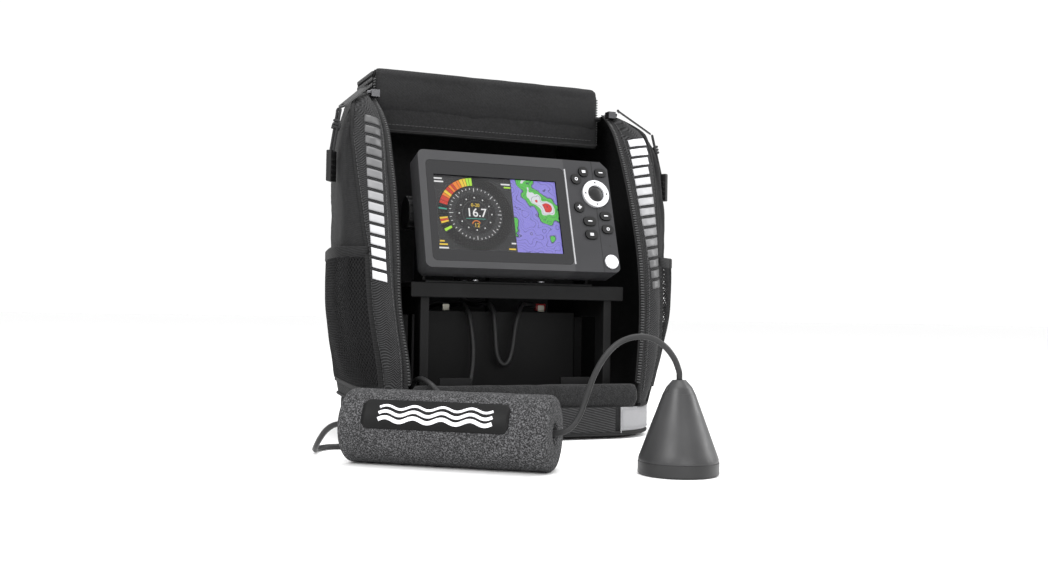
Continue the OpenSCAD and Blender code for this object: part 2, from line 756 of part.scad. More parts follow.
module main_board() {
    color([0.05, 0.3, 0.15]) on_head() plate(32, 33.6) translate([0, 2]) square([114, 66], center = true);
    color([0.1, 0.1, 0.1]) on_head() {
        translate([-24, 0, 4]) plate(33.6, 37) square([16, 16], center = true);
        translate([16, 0, -12]) plate(33.6, 36) square([22, 12], center = true);
    }
}

module keypad_mat() {
    color([0.3, 0.3, 0.32]) on_head() plate(mat_depth, mat_depth + 1.6) difference() {
        translate([66, -1]) square([30, 92], center = true);
        for (p = SCREWS) translate(p) circle(r = 3.2);
    }
}

module case_screws() {
    color([0.55, 0.55, 0.57]) on_head() for (p = SCREWS) {
        translate([p[0], 0, p[1]]) {
            plate(12, bezel_d + 4) circle(r = 1.5);
            plate(bezel_d + 3.03, bezel_d + 4.6) circle(r = 2.4);
        }
    }
}

module rear_sockets() {
    color([0.04, 0.04, 0.04]) on_head() for (x = [-22, 10]) {
        translate([x, 0, plug_z]) difference() {
            union() {
                plate(head_d - 14, head_d - 2.7) circle(r = 8.4);
                plate(head_d - 2.8, head_d + 3) circle(r = 7);
            }
            plate(head_d - 8, head_d + 4) circle(r = 5.2);
        }
    }
}

// Moulded plug with a tapered strain relief
module rear_plug(x) {
    on_head() translate([x, 0, plug_z]) {
        plate(head_d - 6, head_d + 3.2) circle(r = 5);
        plate(head_d + 3.1, head_d + 13) circle(r = 7.4);
        translate([0, head_d + 12.9, 0]) rotate([-90, 0, 0]) cylinder(r1 = 5.4, r2 = 3.2, h = plug_len - 12.9);
    }
}

module power_plug() {
    color([0.05, 0.05, 0.05]) rear_plug(-22);
}

module transducer_plug() {
    color([0.05, 0.05, 0.05]) rear_plug(10);
}

// Small door over the card slot, hinged at its outer edge
module card_door() {
    color([0.12, 0.12, 0.13]) on_head() {
        translate([48, 0, 8]) plate(head_d + 0.3, head_d + 2.1) rounded(26, 30, 3);
        translate([61.8, head_d + 1.5, -4]) cylinder(r = 1.1, h = 24);
        translate([59.5, head_d + 0.5, -3]) cube([2.4, 1.5, 22]);
    }
}

// One key with its collar behind the face
module face_key(k) {
    color([0.1, 0.1, 0.11]) on_head() translate([k[1], 0, k[2]]) {
        plate(-1.3, 4.4) key_outline(k[3], k[4], 0);
        plate(4.3, mat_depth - key_travel - key_gap) circle(d = 4);
    }
}

module key_menu() {
    face_key(KEYS[0]);
}

module key_view() {
    face_key(KEYS[1]);
}

module key_exit() {
    face_key(KEYS[2]);
}

module key_zoom_in() {
    face_key(KEYS[3]);
}

module key_zoom_out() {
    face_key(KEYS[4]);
}

module key_mark() {
    face_key(KEYS[5]);
}

module key_goto() {
    face_key(KEYS[6]);
}

module key_check() {
    face_key(KEYS[7]);
}

// Round power key with a shallow dome
module key_power() {
    color([0.75, 0.76, 0.78]) on_head() translate([power_key[0], 0, power_key[1]]) {
        plate(-1, mat_depth - key_travel - key_gap) circle(r = 6.1);
        intersection() {
            translate([0, 10, 0]) sphere(r = 12.4, $fn = 64);
            plate(-3, 0) circle(r = 6.1);
        }
    }
}

// Cross pivot under the four-way pad
module cursor_pivot() {
    color([0.3, 0.3, 0.3]) on_head() translate([cursor[0], 5.2, cursor[1]]) {
        rotate([0, 90, 0]) cylinder(r = 1, h = 12, center = true);
        cylinder(r = 1, h = 6, center = true);
    }
}

// Four-way pad: a dished ring round a centre button
module cursor_pad() {
    color([0.72, 0.73, 0.75]) on_head() translate([cursor[0], 0, cursor[1]]) {
        difference() {
            plate(-2, 3.2) circle(r = cursor_r);
            plate(-3, -0.6) circle(r = 7.6);
        }
        for (s = [-1, 1]) translate([-3, 3.1, s * 5.2 - 1.1]) cube([6, 3.3, 2.2]);
    }
}

// ---- cable, float and transducer ----

module transducer_cable() {
    color([0.12, 0.12, 0.13]) {
        tube(LEAD_ROUTE, cable_d);
        tube(CABLE_ROUTE, cable_d);
    }
}

// Outer shape of the stored coil, standing behind the battery
module cable_coil() {
    color([0.12, 0.12, 0.13]) translate([coil_x, coil_y, coil_z]) rotate([90, 0, 0]) rotate_extrude($fn = 48) {
        translate([coil_mid_r - coil_bundle_h / 2, -coil_bundle_w / 2]) {
            square([coil_bundle_h, coil_bundle_w]);
        }
    }
}

module along_float() {
    translate([float_x, float_y, float_d / 2]) rotate([0, 0, float_angle]) rotate([0, 90, 0]) children();
}

// Foam cylinder with a bore and a slit to press the cable in
module float_body() {
    chamfer = 3;
    color([0.33, 0.33, 0.34]) along_float() difference() {
        union() {
            translate([0, 0, -float_len / 2]) {
                cylinder(r1 = float_d / 2 - chamfer, r2 = float_d / 2, h = chamfer, $fn = 64);
            }
            translate([0, 0, -float_len / 2 + chamfer]) cylinder(d = float_d, h = float_len - 2 * chamfer, $fn = 64);
            translate([0, 0, float_len / 2 - chamfer]) {
                cylinder(r1 = float_d / 2, r2 = float_d / 2 - chamfer, h = chamfer, $fn = 64);
            }
        }
        translate([0, 0, -float_len]) cylinder(d = float_bore, h = 2 * float_len);
        translate([-0.6, 0, -float_len]) cube([1.2, float_d, 2 * float_len]);
    }
}

module transducer_base() {
    color([0.1, 0.1, 0.1]) translate([probe_x, probe_y, 0]) {
        cylinder(r1 = transducer_d / 2 - 1, r2 = transducer_d / 2, h = 1);
        translate([0, 0, 1]) cylinder(d = transducer_d, h = ring_h - 1.1);
    }
}

// Hollow cone over the base ring
module transducer_shell() {
    color([0.14, 0.14, 0.14]) translate([probe_x, probe_y, ring_h]) difference() {
        union() {
            cylinder(d = transducer_d - 0.8, h = 2);
            translate([0, 0, 2]) cylinder(r1 = transducer_d / 2 - 0.4, r2 = 10.5, h = cone_h);
        }
        translate([0, 0, -1]) cylinder(r = transducer_d / 2 - 4, h = 3.1);
        translate([0, 0, 2]) cylinder(r1 = transducer_d / 2 - 4, r2 = 7.5, h = cone_h - 2);
    }
}

// Cap with the cable gland, held by two screws in side recesses
module transducer_cap() {
    color([0.14, 0.14, 0.14]) translate([probe_x, probe_y, ring_h + 2 + cone_h + 0.02]) difference() {
        union() {
            cylinder(r1 = 10.4, r2 = 8.4, h = 4);
            translate([0, 0, 4]) cylinder(r1 = 8.4, r2 = 4.4, h = cap_h - 4 - 0.5);
        }
        for (s = [-1, 1]) translate([s * 9.6, 0, 1]) cylinder(r = 2.2, h = 12);
        translate([0, 0, 6]) cylinder(r = cable_d / 2 + 0.6, h = 10);
    }
}

module piezo_element() {
    color([0.8, 0.75, 0.6]) translate([probe_x, probe_y, ring_h + 0.2]) cylinder(r = 15, h = 8);
}

base_pan();
corner_guards();
hook_strip();
front_lip();
back_panel();
side_panel_left();
side_panel_right();
roof_panel();
zipper_tapes();
mesh_pocket_left();
mesh_pocket_right();
carry_handle();
flap_panel_1();
flap_panel_2();
flap_panel_3();
flap_panel_4();
flap_panel_5();
zipper_slider_left();
zipper_slider_right();
pull_tab_left();
pull_tab_right();
cord_pull_left();
cord_pull_right();
shuttle_tray();
shuttle_stand();
battery();
power_cable();
gimbal_bracket();
bracket_screws();
knob_left();
knob_right();
front_bezel();
rear_case();
display_window();
lcd_panel();
main_board();
keypad_mat();
case_screws();
rear_sockets();
power_plug();
transducer_plug();
card_door();
key_menu();
key_view();
key_exit();
key_zoom_in();
key_zoom_out();
key_mark();
key_goto();
key_check();
key_power();
cursor_pivot();
cursor_pad();
transducer_cable();
cable_coil();
float_body();
transducer_shell();
transducer_base();
transducer_cap();
piezo_element();
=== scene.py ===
"""Looks of a portable fish finder: soft case, battery shuttle, display, foam float and transducer."""

import math

import bpy
from mathutils import Matrix, Vector, noise


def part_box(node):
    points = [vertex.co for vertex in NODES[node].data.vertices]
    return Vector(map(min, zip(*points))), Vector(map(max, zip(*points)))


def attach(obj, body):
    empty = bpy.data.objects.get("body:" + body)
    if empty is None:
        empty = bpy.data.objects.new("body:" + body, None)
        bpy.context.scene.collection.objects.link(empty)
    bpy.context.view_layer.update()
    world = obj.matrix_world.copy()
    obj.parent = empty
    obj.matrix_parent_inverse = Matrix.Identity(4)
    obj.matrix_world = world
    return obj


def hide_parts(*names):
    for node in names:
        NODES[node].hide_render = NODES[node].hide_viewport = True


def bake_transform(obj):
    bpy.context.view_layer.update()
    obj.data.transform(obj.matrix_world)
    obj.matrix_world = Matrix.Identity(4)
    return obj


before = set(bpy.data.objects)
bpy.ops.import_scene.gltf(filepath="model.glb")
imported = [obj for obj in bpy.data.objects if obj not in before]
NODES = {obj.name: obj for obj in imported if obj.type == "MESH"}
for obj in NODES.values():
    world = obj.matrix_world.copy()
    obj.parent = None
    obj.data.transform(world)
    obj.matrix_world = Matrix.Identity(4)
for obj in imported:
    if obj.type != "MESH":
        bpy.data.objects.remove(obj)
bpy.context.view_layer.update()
MM = 0.001

# ---- dimensions, in millimetres, as the CAD part has them ----
CASE_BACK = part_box("back_panel")[1].y / MM
BOOT_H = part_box("base_pan")[1].z / MM
LIP_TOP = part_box("front_lip")[1].z / MM
ROOF_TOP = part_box("roof_panel")[1].z / MM
FLAP_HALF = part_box("flap_panel_1")[1].x / MM
LEAN = math.radians(17.5)
FACE = Vector((0, -66.1, 185.9))
CABLE_D = 4
POWER_D = 4.5
FLOAT_D = 50
FLOAT_LEN = 144
FLOAT_BORE = 13.5

# Rows of the case's side: height, half width, mouth's x and y, cheek's y, corner's y, narrowing to the back
SIDE = [
    (27, 124, 101, -86, -79, -38, 10),
    (60, 131, 104, -86.5, -84.5, -36, 12),
    (105, 138.5, 109.5, -80, -79.5, -38, 17),
    (150, 141.5, 110, -74, -70, -41, 18),
    (196, 143.5, 109.5, -60, -57.5, -40, 20),
    (230, 143, 109.5, -45, -47.5, -34, 20),
    (250, 140, 109.5, -34.5, -41, -29, 18),
    (265, 134, 111, -22.5, -33, -22, 14),
    (277, 127, 112.5, -8, -18, -5, 10),
    (287, 118, 113.5, 7, 2, 12, 4),
]
# Rows of the reflective bars: height, and where a bar starts and ends along the side's profile
BARS_LEFT = ((128, 0.56, 1.17), (160, 0.53, 1.17), (196, 0.50, 1.18), (230, 0.49, 1.20), (263, 0.46, 1.38))
BARS_RIGHT = ((128, 0.53, 1.25), (160, 0.36, 1.27), (196, 0.27, 1.33), (230, 0.39, 1.26), (263, 0.58, 1.77))
# Rows of the cheek's seam: height, and its place along the side's profile
SEAM = ((40, 1.34), (148, 1.36), (196, 1.6), (230, 1.78), (250, 2.0), (265, 2.6), (287, 2.9))
SIDE_END = 8


# ---- mesh helpers ----
def piece(name, points, faces, materials, body=None, slot=None, replaces=(), picks=None, smooth=True):
    """A mesh piece made from points in millimetres; picks gives each face's material."""
    mesh = bpy.data.meshes.new(name)
    mesh.from_pydata([Vector(p) * MM for p in points], [], faces)
    for m in materials:
        mesh.materials.append(m)
    if picks:
        mesh.polygons.foreach_set("material_index", picks)
    mesh.polygons.foreach_set("use_smooth", [smooth] * len(mesh.polygons))
    mesh.validate()
    mesh.update()
    obj = bpy.data.objects.new(name, mesh)
    bpy.context.scene.collection.objects.link(obj)
    if body:
        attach(obj, body)
    if replaces:
        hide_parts(*replaces)
    return obj


def merged(parts):
    """Several (points, faces) or (points, faces, material index) as one."""
    points, faces, picks = [], [], []
    for part in parts:
        base = len(points)
        points += list(part[0])
        faces += [tuple(i + base for i in f) for f in part[1]]
        picks += [part[2] if len(part) > 2 else 0] * len(part[1])
    return points, faces, picks


def ripple(x, y, z):
    """Smooth noise about zero, the same every run."""
    return noise.noise(Vector((x, y, z)))


def group(name, parts, materials, body=None, slot=None, replaces=(), smooth=True):
    """One piece from several (points, faces) or (points, faces, material index) parts."""
    points, faces, picks = merged(parts)
    return piece(name, points, faces, materials, body, slot, replaces, picks, smooth)


def catmull(a, b, c, d, t):
    return 0.5 * (2 * b + (c - a) * t + (2 * a - 5 * b + 4 * c - d) * t ** 2
                  + (3 * b - a - 3 * c + d) * t ** 3)


def curve_through(points, per):
    """Catmull-Rom curve through a list of points, with so many steps a stretch."""
    p = [Vector(q) for q in points]
    last = len(p) - 1
    found = []
    for i in range(last):
        a, b, c, d = p[max(i - 1, 0)], p[i], p[i + 1], p[min(i + 2, last)]
        for k in range(per):
            t = k / per
            found.append(catmull(a, b, c, d, t))
    return found + [p[last]]


def sweep(path, section, side=(0.12, 0.21, 1), closed=False, scale=None):
    """A section of (side, up) pairs carried along a path without twisting."""
    n, m = len(path), len(section)
    side = Vector(side)
    points, faces = [], []
    for i, p in enumerate(path):
        before = path[i - 1] if closed or i else p
        after = path[(i + 1) % n] if closed or i < n - 1 else p
        t = (after - before).normalized()
        side = (side - side.dot(t) * t).normalized()
        up = t.cross(side)
        k = scale(i / (n - 1)) if scale else 1
        points += [p + k * (x * side + y * up) for x, y in section]
    for i in range(n if closed else n - 1):
        j = (i + 1) % n
        faces += [(i * m + k, i * m + (k + 1) % m, j * m + (k + 1) % m, j * m + k) for k in range(m)]
    if not closed:
        faces += [tuple(range(m - 1, -1, -1)), tuple((n - 1) * m + k for k in range(m))]
    return points, faces


def ring(radius, sides=12):
    return [(radius * math.cos(2 * math.pi * k / sides), radius * math.sin(2 * math.pi * k / sides))
            for k in range(sides)]


def slab(w, h, r=0.4):
    """Section of a flat strap with rounded edges."""
    w, h = w / 2, h / 2
    r = min(r, h * 0.9)
    return [(w, h - r), (w - r, h), (r - w, h), (-w, h - r),
            (-w, r - h), (r - w, -h), (w - r, -h), (w, r - h)]


def tube(path, radius, sides=10, closed=False):
    return sweep(path, ring(radius, sides), closed=closed)


def block(centre, axes, size):
    """A box about a centre, along three unit axes."""
    c = Vector(centre)
    h = [Vector(a) * s / 2 for a, s in zip(axes, size)]
    points = [c + i * h[0] + j * h[1] + k * h[2] for i in (-1, 1) for j in (-1, 1) for k in (-1, 1)]
    faces = [(0, 1, 3, 2), (4, 6, 7, 5), (0, 4, 5, 1), (2, 3, 7, 6), (0, 2, 6, 4), (1, 5, 7, 3)]
    return points, faces


def loft(rings, closed_rings=False, caps=False):
    """Faces between rings of points."""
    m = len(rings[0])
    points = [p for r in rings for p in r]
    wrap = m if closed_rings else m - 1
    faces = [(i * m + k, (i + 1) * m + k, (i + 1) * m + (k + 1) % m, i * m + (k + 1) % m)
             for i in range(len(rings) - 1) for k in range(wrap)]
    if caps:
        faces += [tuple(range(m)), tuple((len(rings) - 1) * m + k for k in range(m - 1, -1, -1))]
    return points, faces


def shell(outer, inner):
    """Closed sheet between two grids of points."""
    rows, cols = len(outer), len(outer[0])
    n = rows * cols
    points = [p for g in (outer, inner) for r in g for p in r]
    faces = []
    for r in range(rows - 1):
        for c in range(cols - 1):
            a = r * cols + c
            faces.append((a, a + 1, a + cols + 1, a + cols))
            faces.append((n + a, n + a + cols, n + a + cols + 1, n + a + 1))
    for c in range(cols - 1):
        a, b = c, (rows - 1) * cols + c
        faces += [(a + 1, a, n + a, n + a + 1), (b, b + 1, n + b + 1, n + b)]
    for r in range(rows - 1):
        a, b = r * cols, r * cols + cols - 1
        faces += [(a, a + cols, n + a + cols, n + a), (b + cols, b, n + b, n + b + cols)]
    return points, faces


def pillow(lo, hi, axis=2, edge=0.3, power=7, wrinkle=0.5, seed=0.0, steps=(44, 26), crown=None):
    """Padded slab between two corners, thin along one axis and pinched towards its edges."""
    lo, hi = Vector(lo), Vector(hi)
    mid, half = (lo + hi) / 2, (hi - lo) / 2
    a, b = [k for k in (0, 1, 2) if k != axis]
    grids = []
    for sign in (1, -1):
        grid = []
        for i in range(steps[0] + 1):
            u = math.sin(math.pi * (i / steps[0] - 0.5))
            line = []
            for j in range(steps[1] + 1):
                v = math.sin(math.pi * (j / steps[1] - 0.5))
                full = math.sqrt(max(0.0, (1 - abs(u) ** power) * (1 - abs(v) ** power)))
                p = Vector((0, 0, 0))
                p[a], p[b] = mid[a] + u * half[a], mid[b] + v * half[b]
                t = half[axis] * (edge + (1 - edge) * full)
                swell = ripple(p[a] * 0.028, p[b] * 0.035, seed + sign)
                swell += 0.5 * ripple(p[a] * 0.09, p[b] * 0.11, seed - sign)
                t += wrinkle * full * swell
                if crown and sign > 0:
                    t += crown(p) * full
                p[axis] = mid[axis] + sign * t
                line.append(p)
            grid.append(line)
        grids.append(grid)
    return shell(*grids)


def teeth(path, across, pitch=2.3, width=3.6, radius=0.75, up=(0, 0, 0)):
    """Row of zipper teeth along a path: short rods laid across it."""
    parts = []
    travelled, due = 0.0, 0.0
    for a, b in zip(path, path[1:]):
        step = (b - a).length
        while due <= travelled + step:
            p = a + (b - a) * ((due - travelled) / step) + Vector(up)
            d = Vector(across).normalized() * width / 2
            parts.append(sweep([p - d, p - 0.7 * d, p + 0.7 * d, p + d], ring(radius, 6),
                               scale=lambda t: 0.55 if t in (0, 1) else 1))
            due += pitch
        travelled += step
    return merged(parts)[:2]


def stitches(path, lift, pitch=3.6, length=2.3, thick=0.42):
    """Row of stitches along a path, each a small dash that stands proud along lift."""
    parts = []
    travelled, due = 0.0, 0.0
    lift = Vector(lift)
    for a, b in zip(path, path[1:]):
        step = (b - a).length
        while step and due <= travelled + step:
            t = (b - a) / step
            p = a + t * (due - travelled) + lift
            side = t.cross(lift if lift.length else Vector((0, 0, 1)))
            side = side.normalized() if side.length > 1e-6 else Vector((0, 0, 1))
            parts.append(block(p, (t, side, t.cross(side)), (length, thick * 1.3, thick)))
            due += pitch
        travelled += step
    return merged(parts)[:2]


def soften(obj, width, segments=2, weld=True):
    """Rounds an object's hard edges."""
    if weld:
        obj.modifiers.new("Weld", "WELD").merge_threshold = 0.00002
    bevel = obj.modifiers.new("Bevel", "BEVEL")
    bevel.width = width * MM
    bevel.segments = segments
    bevel.limit_method = "ANGLE"
    bevel.angle_limit = math.radians(35)
    bevel.use_clamp_overlap = True
    obj.modifiers.new("Normals", "WEIGHTED_NORMAL").keep_sharp = True
    return obj


# ---- material helpers ----
class Material:
    """A Principled material with short calls for its nodes."""

    def __init__(self, name, colour, rough, **sockets):
        self.material = bpy.data.materials.new(name)
        self.material.use_nodes = True
        self.tree = self.material.node_tree
        self.shader = self.tree.nodes["Principled BSDF"]
        self.shader.inputs["Base Color"].default_value = (*colour, 1)
        self.shader.inputs["Roughness"].default_value = rough
        for key, value in sockets.items():
            self.shader.inputs[key.replace("_", " ")].default_value = value
        self.point = self.add("ShaderNodeTexCoord").outputs["Object"]

    def add(self, kind, links=None, **props):
        made = self.tree.nodes.new(kind)
        for key, value in props.items():
            setattr(made, key, value)
        for key, value in (links or {}).items():
            if isinstance(value, bpy.types.NodeSocket):
                self.tree.links.new(value, made.inputs[key])
            else:
                made.inputs[key].default_value = value
        return made

    def math(self, operation, a, b=0.0, c=0.0):
        return self.add("ShaderNodeMath", {0: a, 1: b, 2: c}, operation=operation).outputs[0]

    def wave(self, at, pitch):
        """Sine from 0 to 1 that repeats every pitch millimetres."""
        sine = self.math("SINE", self.math("MULTIPLY", at, 2 * math.pi / (pitch * MM)))
        return self.math("MULTIPLY_ADD", sine, 0.5, 0.5)

    def along(self, direction):
        """Distance along a direction, in metres, from the frame's origin."""
        dot = self.add("ShaderNodeVectorMath", {0: self.point, 1: direction}, operation="DOT_PRODUCT")
        return dot.outputs["Value"]

    def noise(self, scale, detail=3.0, rough=0.55, stretch=(1, 1, 1)):
        at = self.add("ShaderNodeMapping", {"Vector": self.point, "Scale": stretch}).outputs[0]
        return self.add("ShaderNodeTexNoise", {"Vector": at, "Scale": scale, "Detail": detail,
                                               "Roughness": rough}).outputs["Fac"]

    def cells(self, scale, feature="F1"):
        return self.add("ShaderNodeTexVoronoi", {"Vector": self.point, "Scale": scale},
                        feature=feature).outputs["Distance"]

    def ramp(self, fac, stops, interpolation="LINEAR"):
        made = self.add("ShaderNodeValToRGB", {"Fac": fac})
        made.color_ramp.interpolation = interpolation
        e = made.color_ramp.elements
        while len(e) < len(stops):
            e.new(0.5)
        for slot, (at, colour) in zip(e, stops):
            slot.position = at
            slot.color = (*colour, 1) if len(colour) == 3 else colour
        return made.outputs["Color"]

    def mix(self, fac, a, b):
        made = self.add("ShaderNodeMix", {"Factor": fac}, data_type="RGBA")
        for index, value in ((6, a), (7, b)):
            if isinstance(value, bpy.types.NodeSocket):
                self.tree.links.new(value, made.inputs[index])
            else:
                made.inputs[index].default_value = (*value, 1)
        return made.outputs[2]

    def colour(self, socket):
        self.tree.links.new(socket, self.shader.inputs["Base Color"])

    def rough(self, socket):
        self.tree.links.new(socket, self.shader.inputs["Roughness"])

    def bump(self, height, distance, strength=1.0):
        links = {"Height": height, "Distance": distance * MM, "Strength": strength}
        before = self.shader.inputs["Normal"].links
        if before:
            links["Normal"] = before[0].from_socket
        made = self.add("ShaderNodeBump", links)
        self.tree.links.new(made.outputs[0], self.shader.inputs["Normal"])


def grey(v):
    return (v, v, v * 1.03)


def fabric(name, dark, light, thread=1.1, depth=0.22, rough=0.82, sheen=0.25, heather=0.5):
    """Woven cloth: crossing threads about a millimetre apart, with a mottled colour."""
    m = Material(name, grey(dark), rough, Sheen_Weight=sheen, Sheen_Roughness=0.45, Specular_IOR_Level=0.12)
    k = 2 * math.pi / (thread * MM)
    warp = m.math("SINE", m.math("MULTIPLY", m.along((0.8, 0.6, 0.0)), k))
    weft = m.math("SINE", m.math("MULTIPLY", m.along((0.3, -0.4, 1.0)), k))
    weave = m.math("MULTIPLY_ADD", m.math("MULTIPLY", warp, weft), 0.5, 0.5)
    mottle = m.noise(520, 2)
    broad = m.noise(14, 3)
    tone = m.math("ADD", m.math("MULTIPLY", weave, 1 - heather), m.math("MULTIPLY", mottle, heather))
    tone = m.math("MULTIPLY_ADD", m.math("SUBTRACT", broad, 0.5), 0.35, tone)
    m.colour(m.ramp(tone, [(0.25, grey(dark)), (0.75, grey(light))]))
    m.bump(weave, depth, 0.8)
    m.bump(broad, 0.8, 0.35)
    return m.material


def herringbone(name, dark, light):
    """Cheek cloth: bands of slanted threads that turn back every few millimetres."""
    m = Material(name, grey(dark), 0.8, Sheen_Weight=0.03, Sheen_Roughness=0.4, Specular_IOR_Level=0.12)
    band = m.math("PINGPONG", m.along((0.85, 0.5, 0.0)), 2.4 * MM)
    slant = m.math("ADD", m.along((0, 0.15, 1.0)), m.math("MULTIPLY", band, 1.3))
    threads = m.wave(slant, 1.9)
    fleck = m.noise(700, 2)
    broad = m.noise(16, 3)
    tone = m.math("ADD", m.math("MULTIPLY", threads, 0.55), m.math("MULTIPLY", fleck, 0.45))
    tone = m.math("MULTIPLY_ADD", m.math("SUBTRACT", broad, 0.5), 0.3, tone)
    m.colour(m.ramp(tone, [(0.3, grey(dark)), (0.78, grey(light))]))
    m.bump(threads, 0.3, 0.9)
    m.bump(broad, 0.9, 0.3)
    return m.material


def grosgrain(name, dark, light, direction=(0, 0, 1), pitch=1.5):
    """Binding or webbing with ribs across it."""
    m = Material(name, grey(dark), 0.75, Sheen_Weight=0.02, Specular_IOR_Level=0.15)
    ribs = m.wave(m.along(direction), pitch)
    tone = m.math("ADD", m.math("MULTIPLY", ribs, 0.6), m.math("MULTIPLY", m.noise(400, 2), 0.4))
    m.colour(m.ramp(tone, [(0.2, grey(dark)), (0.85, grey(light))]))
    m.bump(ribs, 0.25, 0.9)
    return m.material


def fuzzy(name, dark, light):
    """Loop pile of the bound lip."""
    m = Material(name, grey(dark), 0.95, Sheen_Weight=0.05, Sheen_Roughness=0.6, Specular_IOR_Level=0.08)
    loops = m.cells(900)
    tone = m.math("ADD", m.math("MULTIPLY", loops, 0.6), m.math("MULTIPLY", m.noise(160, 3), 0.5))
    m.colour(m.ramp(tone, [(0.25, grey(dark)), (0.8, grey(light))]))
    m.bump(loops, 0.6, 0.8)
    m.bump(m.noise(220, 3), 0.8, 0.6)
    return m.material


def plastic(name, base, worn, rough=0.42, grain=0.05, scale=1400, coat=0.0, specular=0.5, metallic=0.0):
    """Moulded plastic with a fine grain, uneven gloss and a few faint scuffs."""
    dark, light = (grey(c) if isinstance(c, float) else c for c in (base, worn))
    m = Material(name, dark, rough, Coat_Weight=coat, Coat_Roughness=0.15, Specular_IOR_Level=specular,
                 Metallic=metallic)
    broad = m.noise(22, 4)
    m.colour(m.mix(m.ramp(broad, [(0.45, (0, 0, 0)), (0.8, (1, 1, 1))]), dark, light))
    m.rough(m.math("MULTIPLY_ADD", m.math("SUBTRACT", m.noise(60, 4), 0.5), 0.3, rough))
    m.bump(m.noise(scale, 2), grain, 0.6)
    return m.material


def metal(name, colour, rough):
    """Plated metal with fine brushing."""
    m = Material(name, colour, rough, Metallic=1.0)
    m.rough(m.math("MULTIPLY_ADD", m.noise(300, 3, stretch=(1, 1, 12)), 0.25, rough - 0.1))
    m.bump(m.noise(900, 2, stretch=(1, 1, 9)), 0.02, 0.5)
    return m.material


def speckled_foam(name):
    """Speckled closed-cell foam."""
    m = Material(name, grey(0.04), 0.9, Specular_IOR_Level=0.08)
    speck = m.noise(900, 3, 0.7)
    fine = m.cells(1100)
    tone = m.math("ADD", m.math("MULTIPLY", speck, 0.75), m.math("MULTIPLY", fine, 0.3))
    m.colour(m.ramp(tone, [(0.36, grey(0.010)), (0.52, grey(0.035)), (0.68, grey(0.12))]))
    m.bump(fine, 0.5, 0.7)
    m.bump(m.noise(45, 3), 0.7, 0.4)
    return m.material


def lit(name, colour):
    """A colour that glows on the screen."""
    m = Material(name, (0, 0, 0), 0.4)
    m.shader.inputs["Emission Color"].default_value = (*colour, 1)
    m.shader.inputs["Emission Strength"].default_value = 1.0
    return m.material


# ---- camera, lights and floor ----
CAMERA_PLACE = (-0.3454, -0.9038, 0.1047)
CAMERA_FORWARD = (0.3846, 0.9228, 0.0240)
CAMERA_UP = (-0.0244, -0.0159, 0.9996)
FLOOR_HALF = 12.0


def look():
    """The photograph's view, and plain colours."""
    data = bpy.data.cameras.new("camera")
    data.lens = 37.8
    data.sensor_width = 36
    camera = bpy.data.objects.new("camera", data)
    forward = Vector(CAMERA_FORWARD).normalized()
    right = forward.cross(Vector(CAMERA_UP)).normalized()
    turn = Matrix((right, right.cross(forward), -forward)).transposed().to_4x4()
    turn.translation = CAMERA_PLACE
    camera.matrix_world = turn
    bpy.context.scene.collection.objects.link(camera)
    bpy.context.scene.camera = camera
    bpy.context.scene.view_settings.view_transform = "Standard"


def lamp(name, place, target, size, power):
    """A soft rectangular lamp aimed at a point."""
    data = bpy.data.lights.new(name, "AREA")
    data.shape = "RECTANGLE"
    data.size, data.size_y = size
    data.energy = power
    obj = bpy.data.objects.new(name, data)
    obj.location = place
    obj.rotation_euler = (Vector(target) - Vector(place)).to_track_quat("-Z", "Y").to_euler()
    bpy.context.scene.collection.objects.link(obj)


def studio():
    """White surroundings, four soft lamps and a pale floor."""
    world = bpy.data.worlds.new("studio")
    world.use_nodes = True
    world.node_tree.nodes["Background"].inputs["Color"].default_value = (1, 1, 1, 1)
    world.node_tree.nodes["Background"].inputs["Strength"].default_value = 1.05
    bpy.context.scene.world = world
    lamp("key_left", (-1.3, -1.0, 1.3), (-0.1, -0.1, 0.12), (0.9, 0.9), 22)
    lamp("top", (0.1, -0.2, 1.7), (0, -0.1, 0.1), (1.4, 1.0), 20)
    lamp("rim_right", (1.3, -0.5, 0.8), (0.1, -0.1, 0.15), (0.5, 1.2), 16)
    lamp("front", (-0.2, -1.8, 0.5), (0, -0.1, 0.12), (1.0, 0.6), 8)
    half = FLOOR_HALF
    mesh = bpy.data.meshes.new("floor")
    corners = [(-half, -half, 0), (half, -half, 0), (half, half, 0), (-half, half, 0)]
    mesh.from_pydata(corners, [], [(0, 1, 2, 3)])
    floor = bpy.data.objects.new("floor", mesh)
    floor.location.z = -0.0002
    bpy.context.scene.collection.objects.link(floor)
    m = Material("floor", (0.93, 0.93, 0.93), 0.55)
    m.bump(m.noise(3, 2), 0.2, 0.1)
    mesh.materials.append(m.material)


# ---- cords ----
def on_face(u, depth, v):
    """Point of the display unit from its own frame: across, back from its face, and up."""
    return Vector((u, FACE.y + depth * math.cos(LEAN) + v * math.sin(LEAN),
                   FACE.z - depth * math.sin(LEAN) + v * math.cos(LEAN)))


